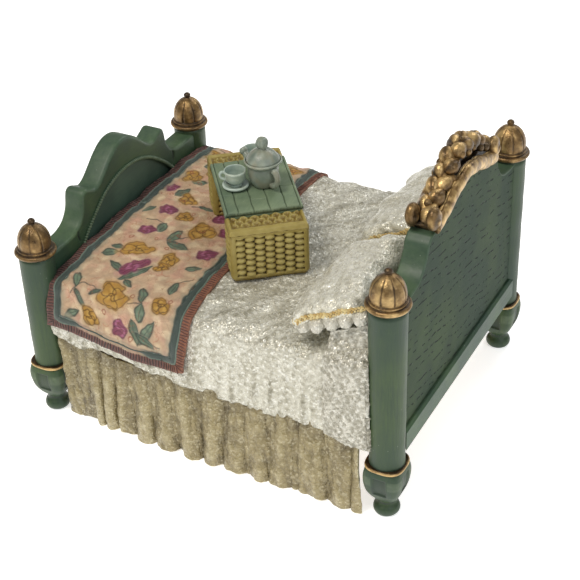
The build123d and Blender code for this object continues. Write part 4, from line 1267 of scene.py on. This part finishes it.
def make_quilt_trim(grid, normal):
    """Teal braid with a ladder of stitches and, outside it, a fringe of short burgundy tufts."""
    points, normals = border_line(grid, normal, 3.1, 0.62)
    tangent = unit(np.gradient(points, axis=0))
    outward = unit(np.cross(normals, tangent))
    near = points[:, 1] < -38
    thick = 1 - 0.7 * worn_hem(points[:, 0]) * near
    braid = Shape()
    for shift in (-0.85, 0.85):
        add_tube(braid, points + outward * (shift * thick)[:, None] + normals * 0.15, 0.3 * thick, 8, relief=0.8)
    # The flat band under the stitches has low relief and shows darker between the cords: painted shade.
    add_tube(braid, points + normals * 0.02, 0.85 * thick, 8, 0.25, normals, 0.3)
    for k, (place, up, along, out) in enumerate(zip(points, normals, tangent, outward)):
        way = unit(out + 0.55 * along)
        axes = np.array([way, np.cross(up, way), up])
        sizes = np.array([0.72, 0.15, 0.26]) * thick[k]
        add_blob(braid, place + up * 0.24, axes, sizes, relief=0.62 + 0.3 * (k % 2), tint=(k % 3) / 2)
    braid = braid.build("quilt_braid", BRAID, "bed", "quilt_cloth")
    points, normals = border_line(grid, normal, 0.95, 0.74)
    tangent = unit(np.gradient(points, axis=0))
    fringe = Shape()
    rng = np.random.default_rng(77)
    for place, up, along in zip(points, normals, tangent):
        out = unit(np.cross(up, along))
        way = unit(out + rng.uniform(-0.14, 0.14) * along)
        axes = np.array([way, np.cross(up, way), up])
        warm = smoothstep(-10.0, -5.0, place[0]) * 0.7
        tone = np.clip(warm + rng.uniform(0, 0.3), 0, 1)
        # Each tuft is darker on its underside: painted shade.
        value = 0.4 + 0.5 * np.clip(BALL[0][:, 2] + 0.3, 0, 1)
        sizes = (1.15 + rng.uniform(-0.14, 0.16), 0.21, 0.34)
        add_blob(fringe, place + up * 0.12, axes, sizes, relief=value, tint=tone)
    fringe = fringe.build("quilt_fringe", FRINGE, "bed", "quilt_cloth")
    points, normals = border_line(grid, normal, 2.0, 0.7)
    beads = Shape()
    for place, up in zip(points, normals):
        if place[0] < -36:
            add_blob(beads, place + up * 0.28, np.eye(3), (0.26, 0.26, 0.26), relief=1.0, template=ball(5, 8))
    beads = beads.build("quilt_beads", PEBBLED, "bed", "quilt_cloth")
    return [braid, fringe, beads]


# ---------------------------------------------------------------- pillows


def pillow_frame(word):
    """Centre and the across, along and up directions of a pillow that leans on the headboard."""
    low, high = node_box(f"pillow_{word}")
    lean = radians(25.0)
    return (low + high) / 2, np.array([(cos(lean), 0, sin(lean)), (0, 1.0, 0), (-sin(lean), 0, cos(lean))])


def stuff(points, faces, scale, rise):
    """Inflate a slack case with Blender's cloth, worked out enlarged, and give back its points and faces."""
    mesh = bpy.data.meshes.new("case")
    mesh.from_pydata((points * MM * scale).tolist(), [], [list(f) for f in faces])
    case = link_object("case", mesh)
    weld(mesh, 1e-5)
    remesh = case.modifiers.new("remesh", "REMESH")
    remesh.mode = "VOXEL"
    remesh.voxel_size = 0.6 * MM * scale
    shaped = bpy.data.meshes.new_from_object(case.evaluated_get(bpy.context.evaluated_depsgraph_get()))
    case.modifiers.clear()
    case.data = shaped
    start = np.array([v.co for v in shaped.vertices])
    cloth = case.modifiers.new("cloth", "CLOTH")
    cloth.settings.quality = 5
    cloth.settings.mass = 0.15
    cloth.settings.use_pressure = True
    cloth.settings.uniform_pressure_force = 4.0
    cloth.settings.shrink_min = -0.12
    cloth.settings.tension_stiffness = 8
    cloth.settings.compression_stiffness = 8
    cloth.settings.bending_stiffness = 0.05
    cloth.settings.effector_weights.gravity = 0.0
    cloth.point_cache.frame_start = 1
    cloth.point_cache.frame_end = 20
    for number in range(1, 21):
        bpy.context.scene.frame_set(number)
    puffed = bpy.data.meshes.new_from_object(case.evaluated_get(bpy.context.evaluated_depsgraph_get()))
    end = np.array([v.co for v in puffed.vertices])
    move = end - start
    far = np.linalg.norm(move, axis=1, keepdims=True)
    end = start + move * np.minimum(1.0, rise * MM * scale / np.maximum(far, 1e-9))
    cells = [list(p.vertices) for p in puffed.polygons]
    bpy.context.scene.frame_set(1)
    bpy.data.objects.remove(case)
    return end / MM / scale, cells


def pillow_seam(length, width, count):
    """Seam from the head side along the outer end, round the front corner and along the front edge."""
    half_v, half_u = length / 2, width / 2
    corner = [(-half_u + 1.9 + 1.9 * cos(t), -half_v + 1.9 + 1.9 * sin(t)) for t in np.linspace(1.5 * pi, pi, 8)]
    points = [(half_u + 2.4, -half_v)] + corner + [(-half_u, half_v - 2.0)]
    line = evenly(np.array(points), count)
    along = unit(np.gradient(line, axis=0))
    return line, np.stack([-along[:, 1], along[:, 0]], 1)


def make_pillow_trim(word, length, width):
    """Scalloped frill round the outer end and the front edge, with a thin gold braid above it."""
    node = f"pillow_{word}"
    centre, axes = pillow_frame(word)
    count, rows = 520, 22
    line, out = pillow_seam(length, width, count)
    out = out * np.sign((out * line).sum())
    along = np.linspace(0, steps(line).sum(), count)
    on_end = smoothstep(width + 3.0, width - 3.0, along)
    t = np.linspace(0, 1, rows)[None, :]
    pitch = np.interp(along, [0, 6, 12, width, width + 8, along[-1]], [4.6, 3.6, 4.2, 3.4, 2.8, 3.2])
    phase = np.cumsum(2 * pi / pitch * np.gradient(along))
    lobe = (np.abs(np.sin(phase / 2)) ** 0.8)[:, None]
    reach = (1.5 + 2.0 * on_end)[:, None] * (0.62 + 0.38 * lobe)
    sag = np.interp(along, [0, width, width + 6, along[-1]], [1.0, 1.0, 0.75, 0.75])[:, None]
    push = (0.3 + (0.6 + 0.9 * on_end[:, None]) * lobe) * np.sin(pi * np.minimum(t * 0.85, 1)) + 0.4 * t
    drop = reach * t
    spread = push + drop * (1 - sag) * 0.8
    local = np.stack([line[:, 0, None] + out[:, 0, None] * spread, line[:, 1, None] + out[:, 1, None] * spread,
                      0.6 - drop * sag - 0.9 * (1 - on_end[:, None])], -1)
    local += 0.07 * wobble(local, 1.6, 83, 12)[..., None]
    grid = (centre + local.reshape(-1, 3) @ axes).reshape(count, rows, 3)
    grid[..., 2] = np.maximum(grid[..., 2], 40.75)
    # Darker between the scallops and along the seam, lighter on the lobes: painted shade and painted highlight.
    relief = np.clip(0.3 + 0.5 * lobe + 0.1 * t, 0, 1) + 0 * t
    frill = add_shell(Shape(), grid, 0.45, relief).build(f"frill_{node}", PEBBLED, node, "coverlet_cloth")
    seam = np.stack([line[:, 0] + out[:, 0] * 0.45, line[:, 1] + out[:, 1] * 0.45, 0.95 - 0.9 * (1 - on_end)], 1)
    seam = seam[along < width + 7.0]
    seam[:, 2] += 0.22 * wobble(seam, 5.0, 84)
    spots = evenly(centre + seam @ axes, 62)
    tangent = unit(np.gradient(spots, axis=0))
    rng = np.random.default_rng(85)
    braid = Shape()
    # The core cord under the gold loops has relief 0.1 and shows dark between them: painted shade.
    add_tube(braid, spots, 0.3, 8, relief=0.1)
    for k, (place, way) in enumerate(zip(spots, tangent)):
        up = unit(np.cross(way, (0.3, 1.0, 0)))
        slant = unit(way + 0.8 * (-1) ** k * up)
        turned = np.array([slant, unit(np.cross(slant, (0, 1.0, 0.2))), unit(np.cross(way, up))])
        size = rng.uniform(0.8, 1.35)
        add_blob(braid, place + 0.22 * (-1) ** k * up, turned, (0.62 * size, 0.32 * size, 0.36), relief=0.75,
                 tint=rng.uniform(0, 1))
    braid.build(f"braid_{node}", GOLD_BRAID, node, "coverlet_cloth")


def make_pillow(word, seed):
    """Plump pillow with soft corners, crumpled by a pressure simulation, in a gold-edged frilled case."""
    node = f"pillow_{word}"
    centre, axes = pillow_frame(word)
    low, high = node_box(node)
    length = high[1] - low[1] - 0.8
    width, depth = 17.6, 8.0
    rows, ring = 90, 120
    v = np.linspace(-1, 1, rows)[:, None]
    a = np.linspace(0, 2 * pi, ring, endpoint=False)[None, :]
    end = np.clip(1 - np.abs(v) ** 5.0, 0, 1) ** 0.4
    thick = end * (1 - (0.8 if word == "near" else 0.25) * smoothstep(0.35, 1.0, v) ** 1.5)
    section = square_radius(1.0, 2.8, a)
    u = np.cos(a) * section * (0.84 + 0.16 * end) * width / 2
    w = np.sin(a) * section * thick * depth / 2
    spot = points_of(u, v * length / 2, w)
    dents = 0.5 * wobble(spot, 11.0, seed) + 0.32 * wobble(spot * (1, 0.6, 1), 4.4, seed + 1)
    w = w + 0.8 * dents * end * np.sign(np.sin(a)) * (np.abs(np.sin(a)) > 0.05)
    local = points_of(u, v * length / 2, w).reshape(-1, 3)
    faces = grid_faces(rows, ring, close_v=True).tolist()
    local, faces = stuff(local, faces, CASE_ENLARGED, CASE_RISE)
    rough = 0.10 * wobble(local, 2.2, seed + 2, 14) + 0.05 * wobble(local, 1.1, seed + 3, 16)
    local = local + unit(local * (0.3, 0.1, 1.0)) * rough[:, None]
    # Bumps raise the relief and dents lower it: painted highlight and painted shade.
    shape = Shape().add(centre + local @ axes, np.zeros((0, 4), int), np.clip(0.62 + 1.6 * rough, 0, 1))
    shape.faces = faces
    pillow = shape.build(f"plump_{node}", PILLOW, node, "coverlet_cloth", [node])
    smooth = pillow.modifiers.new("smooth", "SUBSURF")
    smooth.levels = smooth.render_levels = 1
    make_pillow_trim(word, length, width)


# ---------------------------------------------------------------- tray


def on_tray(points):
    """Tray space (u across, v along, z up) to the row frame."""
    centre = node_centre("tray_board")
    u, v, z = points.T
    c, s = cos(TRAY_TURN), sin(TRAY_TURN)
    return np.stack([centre[0] + u * c - v * s, centre[1] + u * s + v * c, z], 1)


def rounded_loop(half_u, half_v, radius, count):
    """Closed rounded rectangle, evenly spaced, with outward normals."""
    points = []
    for cu, cv, start in ((1, 1, 0), (-1, 1, pi / 2), (-1, -1, pi), (1, -1, 1.5 * pi)):
        for turn in np.linspace(0, pi / 2, 12):
            points.append((cu * (half_u - radius) + radius * cos(start + turn),
                           cv * (half_v - radius) + radius * sin(start + turn)))
    points = np.array(points + points[:1])
    loop = evenly(points, count + 1)
    along = unit(np.roll(loop[:-1], -1, 0) - np.roll(loop[:-1], 1, 0))
    return loop[:-1], np.stack([along[:, 1], -along[:, 0]], 1)


def weave(u, z, first_z, last_z, half):
    """Height of staggered wicker bumps on a face, and of the smooth band round it."""
    pitch_u, pitch_z = 2.35, 1.62
    inside = smoothstep(0.0, 0.25, np.minimum(half - np.abs(u), np.minimum(z - first_z, last_z - z)))
    column = np.round(u / pitch_u)
    across = (u - column * pitch_u) / (pitch_u * 0.62)
    rows = (z - first_z) / pitch_z + 0.5 * (column % 2) + 0.25
    up = (rows - np.floor(rows) - 0.5) / 0.52
    bump = np.sqrt(np.clip(1 - across ** 2 - up ** 2, 0, 1))
    return inside, bump


def make_basket(word, side):
    """Woven basket end: smooth frame bands and rows of fat wicker bumps on all four faces."""
    node = f"tray_basket_{word}"
    low, high = node_box(node)
    z0, z1 = low[2], high[2]
    middle = side * BASKET_MIDDLE
    half_u, half_v = 9.4, 4.5
    loop, outward = rounded_loop(half_u, half_v, 1.1, 420)
    z = np.linspace(z0, z1, 96)
    flat_u = np.where(np.abs(outward[:, 1]) > 0.9, loop[:, 0], 99.0)
    flat_v = np.where(np.abs(outward[:, 0]) > 0.9, loop[:, 1], 99.0)
    inside_u, bump_u = weave(flat_u[:, None], z[None], z0 + 1.2, z1 - 0.6, half_u - 1.35)
    inside_v, bump_v = weave(flat_v[:, None], z[None], z0 + 1.2, z1 - 0.6, half_v - 0.9)
    inside, bump = inside_u + inside_v, bump_u * (inside_u > 0) + bump_v * (inside_v > 0)
    sunk = -0.75 * inside + 0.95 * bump * inside
    foot = -0.55 * smoothstep(1.0, 0.0, z - z0)[None]
    points = np.concatenate([loop[:, None] + outward[:, None] * (sunk + foot)[..., None],
                             np.broadcast_to(z[None, :, None], (420, 96, 1))], -1)
    points[..., 1] += middle
    # The gaps between the bumps are near-black and the crowns pale: painted shade, and wear with painted
    # highlight.
    relief = np.where(inside > 0, 0.02 + 0.85 * bump ** 0.7, 0.66)
    # Darker towards the bottom, where the basket stands on the board: painted shade.
    relief = relief * (1 - 0.35 * smoothstep(0.8, 0.0, z - z0)[None])
    shape = Shape().add(points, grid_faces(420, 96, close_u=True), np.clip(relief, 0, 1))
    shape.add_cap(points[:, 0], 0.3)
    shape.add_cap(points[:, -1], 0.4)
    shape.build(f"woven_{node}", WICKER, "tray", "wicker", [node], on_tray)


def make_basket_lid(word, side):
    """Top of a basket: three rows of soft open loops between a back band and a rounded front band."""
    node = f"basket_lid_{word}"
    low, high = node_box(node)
    z0, z1 = low[2], high[2]
    u, v = np.meshgrid(np.linspace(-9.35, 9.35, 240), np.linspace(12.55, 19.4, 110), indexing="ij")
    loops = np.zeros(u.shape)
    for row in range(3):
        centre_v = 13.7 + 1.45 * row
        pitch = 2.6
        shift = pitch / 2 * (row % 2)
        du = u - shift - np.round((u - shift) / pitch) * pitch
        r = np.hypot(du / 1.05, (v - centre_v) / 0.95)
        arch = np.exp(-(((r - 0.85) / 0.34) ** 2)) * smoothstep(0.6, 0.2, v - centre_v)
        loops = np.maximum(loops, arch * smoothstep(8.3, 7.9, np.abs(u)))
    band = smoothstep(17.1, 17.7, v)
    frame_u = smoothstep(8.2, 8.7, np.abs(u))
    spot = np.stack([u, v, 0 * u], -1)
    height = z1 - 0.60 + 0.5 * loops * (1 - band) + 0.35 * np.maximum(band, frame_u) + 0.06 * wobble(spot, 2.4, 66)
    height -= 1.1 * smoothstep(18.6, 19.4, v) ** 2 + 0.5 * smoothstep(9.0, 9.35, np.abs(u))
    # Loops and bands get higher relief than the hollows between them: painted highlight and painted shade.
    relief = np.clip(0.34 + 0.42 * loops * (1 - band) + 0.38 * np.maximum(band, frame_u), 0, 1)
    top = np.stack([u, side * v, height], -1)
    shape = add_slab(Shape(), top, z0, relief, 0.3, 0.5)
    shape.build(f"looped_{node}", WICKER, "tray", "wicker", [node], on_tray)


def make_tray_board():
    """Five worn planks of unequal width, a few butt joints and a pale rim along each side, from worn paint and a
    painted highlight.
    """
    low, high = node_box("tray_board")
    u, v = np.meshgrid(np.linspace(-9.4, 9.4, 300), np.linspace(-12.4, 12.4, 260), indexing="ij")
    seams = (-6.1, -2.4, 1.5, 5.4)
    depth = np.zeros(u.shape)
    for k, seam in enumerate(seams):
        depth = np.maximum(depth, smoothstep(0.2, 0.05, np.abs(u - seam - 0.06 * np.sin(v + k))))
    joints = ((-9.4, -6.1, -4.2), (-2.4, 1.5, -7.4), (1.5, 5.4, 5.1), (5.4, 9.4, -2.6), (-6.1, -2.4, 8.2))
    for u0, u1, joint in joints:
        depth = np.maximum(depth, smoothstep(0.2, 0.05, np.abs(v - joint)) * (u > u0) * (u < u1))
    rim = smoothstep(8.75, 8.95, np.abs(u))
    gap = smoothstep(0.18, 0.04, np.abs(np.abs(u) - 8.65))
    spot = np.stack([u, v, 0 * u], -1)
    round_edge = 0.5 * smoothstep(9.1, 9.4, np.abs(u)) ** 2 + 0.35 * smoothstep(12.1, 12.4, np.abs(v)) ** 2
    height = high[2] - 0.12 - 0.3 * np.maximum(depth, gap) - round_edge + 0.05 * wobble(spot, 4.0, 61)
    # Seams and joints are darker lines; the rim's high relief makes it pale: worn paint and painted highlight.
    relief = 0.6 - 0.3 * np.maximum(depth, gap) + 0.42 * rim
    top = np.stack([u, v, height], -1)
    shape = add_slab(Shape(), top, low[2], np.clip(relief, 0, 1), 0.4, 0.3)
    shape.build("planked_board", TRAY_PAINT, "tray", "tray_green", ["tray_board"], on_tray)


# ---------------------------------------------------------------- tea set


def make_teapot():
    x, y = node_centre("teapot_lid")[:2]
    base = node_box("teapot")[0][2]
    turn = radians(155.0)
    profile = [(0.02, 0.05), (2.2, 0.0), (2.6, 0.05), (2.75, 0.3), (3.0, 0.7), (3.45, 2.0), (3.72, 3.5),
               (3.75, 4.6), (3.7, 5.2), (3.85, 5.75), (4.3, 6.1), (4.6, 6.4), (4.62, 6.7), (4.45, 6.9),
               (4.25, 6.85), (4.2, 6.6), (3.9, 6.48), (3.2, 6.45), (3.1, 5.6), (3.1, 3.6), (2.3, 0.9),
               (0.02, 0.8)]
    profile = curve_through(profile, 140) + (0, base)

    def sway(r, z, a):
        return r + 0.06 * np.sin(3 * a + z) * (r > 0.5)

    # A darker band under the flange (a wash and painted shade) and a lighter outer flange edge (painted
    # highlight).
    def relief(r, z, a):
        return 0.6 - 0.35 * smoothstep(0.8, 0.0, np.abs(z - base - 5.6)) * (r > 3.3) + 0.3 * (r > 4.35)

    pot = add_lathe(Shape(), profile, (x, y), 96, sway, relief)

    def at(reach, z, angle):
        return (x + reach * cos(angle), y + reach * sin(angle), base + z)

    spout = curve_through([at(2.9, 2.7, turn), at(4.6, 3.5, turn), at(6.4, 4.8, turn), at(7.9, 5.8, turn)], 34)
    add_tube(pot, spout, np.linspace(1.15, 0.72, 34), 20)
    tip = curve_through([at(7.2, 5.35, turn), at(7.8, 5.8, turn), at(8.4, 6.3, turn)], 12)
    # The spout's rolled lip has higher relief and is painted lighter: a painted highlight.
    add_tube(pot, tip, 0.45 + 0.62 * np.sin(np.linspace(0.12, pi - 0.35, 12)) ** 0.6, 20, relief=0.85)
    back = turn + pi
    loop = curve_through([at(3.3, 5.2, back), at(4.6, 5.15, back), at(5.5, 4.1, back), at(5.55, 2.9, back),
                          at(4.8, 1.6, back), at(3.9, 1.1, back), at(2.9, 1.2, back)], 60)
    add_tube(pot, loop, 0.72 + 0.05 * np.sin(np.linspace(0, 9, 60)), 20, relief=0.75)
    pot.build("glazed_teapot", TEA_GLAZE, "teapot", "tea_ware", ["teapot"])
    seat = base + 6.55
    lid = [(0.02, -0.6), (2.6, -0.6), (2.95, -0.5), (3.0, -0.1), (3.2, 0.02), (3.95, 0.02), (4.1, 0.2),
           (4.05, 0.5), (3.7, 1.1), (2.9, 2.05), (1.9, 2.75), (1.15, 3.1), (0.95, 3.3), (1.15, 3.55),
           (1.5, 4.1), (1.5, 4.9), (1.05, 5.75), (0.5, 6.02), (0.02, 6.05)]
    lid = curve_through(lid, 110) + (0, seat)

    def ribs(r, z, a):
        # Ten lighter and darker stripes run round the lid, and the narrow neck under the knob is darker: a wash
        # and painted shade.
        return 0.6 + 0.14 * np.sin(10 * a) * (r > 1.2) - 0.3 * smoothstep(0.4, 0.0, np.abs(z - seat - 3.3))

    add_lathe(Shape(), lid, (x, y), 96, sway, ribs).build("glazed_lid", TEA_GLAZE, "teapot_lid", "tea_ware",
                                                         ["teapot_lid"])


def make_saucer():
    x, y = node_centre("saucer")[:2]
    base = node_box("saucer")[0][2]
    profile = [(0.02, 0.02), (1.4, 0.0), (1.8, 0.05), (2.5, 0.2), (3.0, 0.35), (3.22, 0.65), (3.15, 0.95),
               (2.9, 1.05), (2.3, 0.8), (1.75, 0.58), (1.5, 0.5), (0.02, 0.5)]
    profile = curve_through(profile, 60) + (0, base)

    # The rim is painted lighter (painted highlight) and the well under the cup darker (a wash and painted shade).
    def relief(r, z, a):
        return 0.6 + 0.3 * smoothstep(2.7, 3.1, r) - 0.35 * smoothstep(2.2, 1.7, r)

    add_lathe(Shape(), profile, (x, y), 80, None, relief).build("glazed_saucer", CUP_GLAZE, "saucer", "cup_ware",
                                                                ["saucer"])


def make_cup(word, centre, turn):
    """Cup with a rolled lip, a ringed foot and a thin loop handle."""
    node = f"teacup_{word}"
    low, high = node_box(node)
    x, y = centre
    h = (high[2] - low[2]) / 4.2
    profile = [(0.02, 0.0), (1.2, 0.0), (1.45, 0.12), (1.4, 0.4), (1.25, 0.55), (1.7, 0.9), (2.3, 1.6),
               (2.5, 2.4), (2.52, 3.1), (2.7, 3.6), (2.75, 3.95), (2.6, 4.18), (2.42, 4.1), (2.3, 3.6),
               (2.15, 2.4), (1.6, 1.2), (0.02, 0.85)]
    profile = curve_through(profile, 100) * (1, h) + (0, low[2])

    def relief(r, z, a):
        rings = -0.5 * smoothstep(0.5, 0.0, np.abs(z - low[2] - 0.6))
        rings = rings - 0.25 * smoothstep(0.5, 0.0, np.abs(z - low[2] - 2.7 * h))
        # The rolled lip gets higher relief and is painted lighter: a painted highlight; the rings are dark wash
        # lines.
        return 0.55 + 0.4 * smoothstep(2.4, 2.7, r) + rings

    cup = add_lathe(Shape(), profile, (x, y), 80, lambda r, z, a: r + 0.04 * np.sin(2 * a + z), relief)
    way = np.array([cos(turn), sin(turn), 0])
    loop = curve_through([np.array([x, y, low[2]]) + way * reach + (0, 0, z * h) for reach, z in
                          ((2.4, 3.4), (3.2, 3.5), (3.65, 2.8), (3.3, 1.9), (2.3, 1.5))], 30)
    add_tube(cup, loop, 0.36, 14, relief=0.7)
    cup.build(f"glazed_{node}", CUP_GLAZE, node, "cup_ware", [node])


# ---------------------------------------------------------------- stage


def finish_plain_nodes():
    """Inner pieces keep their CAD shape."""
    paints = {WOOD: ("side_rail_near", "side_rail_far", "rail_pegs", "slat_cleat_near", "slat_cleat_far",
                     "bed_slats"),
              TICKING: ("box_spring", "mattress"),
              TRAY_PAINT: ("tray_bearer_near", "tray_bearer_far"),
              BOARD_PAINT: ("headboard_bottom_rail", "footboard_bottom_rail")}
    for paint, nodes in paints.items():
        for node in nodes:
            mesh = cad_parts[node].data
            mesh.attributes.new("relief", "FLOAT", "POINT").data.foreach_set("value", [0.6] * len(mesh.vertices))
            mesh.materials.clear()
            mesh.materials.append(paint)


def make_stage():
    floor = Shape()
    t = np.linspace(-1, 1, 40)
    u, v = np.meshgrid(t, t, indexing="ij")
    floor.add(np.stack([u * FLOOR_HALF, v * FLOOR_HALF, 0 * u - 0.02], -1), grid_faces(40, 40))
    paper = Finish("paper")
    paper.set(Base_Color=colour("#ffffff"), Roughness=0.9, Specular_IOR_Level=0.1,
              Emission_Color=colour("#ffffff"), Emission_Strength=0.6)
    mesh = bpy.data.meshes.new("floor")
    mesh.from_pydata((floor.points[0] * MM).tolist(), [], floor.faces)
    mesh.materials.append(paper.material)
    link_object("floor", mesh)


def add_light(name, place, power, size, shade):
    lamp = bpy.data.lights.new(name, "AREA")
    lamp.energy = power
    lamp.size = size
    lamp.color = colour(shade)[:3]
    obj = link_object(name, lamp)
    obj.location = place
    obj.rotation_euler = (Vector((0, 0, 0.03)) - Vector(place)).to_track_quat("-Z", "Y").to_euler()


def make_lights():
    world = bpy.data.worlds.new("studio")
    world.use_nodes = True
    world.node_tree.nodes["Background"].inputs[0].default_value = colour("#ffffff")
    world.node_tree.nodes["Background"].inputs[1].default_value = 0.34
    bpy.context.scene.world = world
    add_light("key", (-0.15, -0.35, 0.75), 3.4, 0.26, "#fff8ee")
    add_light("fill", (0.55, -0.25, 0.45), 1.15, 0.35, "#f2f6ff")
    add_light("back", (0.1, 0.6, 0.5), 1.2, 0.3, "#ffffff")
    bpy.context.scene.view_settings.view_transform = "Standard"


def make_camera():
    """Camera at the photograph's angle: azimuth 28.7 degrees, 34.1 above the floor, slightly rolled."""
    azimuth, elevation, roll = radians(28.66), radians(34.13), radians(-2.18)
    forward = Vector((-sin(azimuth) * cos(elevation), cos(azimuth) * cos(elevation), -sin(elevation)))
    right = forward.cross(Vector((0, 0, 1))).normalized()
    up = right.cross(forward)
    side = right * cos(roll) + up * sin(roll)
    over = up * cos(roll) - right * sin(roll)
    lens = bpy.data.cameras.new("camera")
    lens.sensor_width = 36.0
    lens.lens = 90.996
    camera = link_object("camera", lens)
    turn = Matrix((side, over, -forward)).transposed()
    camera.matrix_world = Matrix.Translation((0.14889, -0.26676, 0.23303)) @ turn.to_4x4()
    bpy.context.scene.camera = camera


make_camera()
make_lights()
make_stage()
seed = 0
for end in ("head", "foot"):
    for side in ("near", "far"):
        make_post(end, side)
        make_collar(end, side)
        make_finial(end, side, seed)
        seed += 1
make_boards()
make_crest()
make_skirt("near", -1, 51)
make_skirt("far", 1, 57)
make_coverlet()
make_quilt()
make_pillow("near", 71)
make_pillow("far", 75)
for word, side in (("near", -1), ("far", 1)):
    make_basket(word, side)
    make_basket_lid(word, side)
make_tray_board()
make_teapot()
make_saucer()
make_cup("near", node_centre("saucer")[:2], radians(205))
make_cup("far", (-10.4, 8.4), radians(70))
finish_plain_nodes()
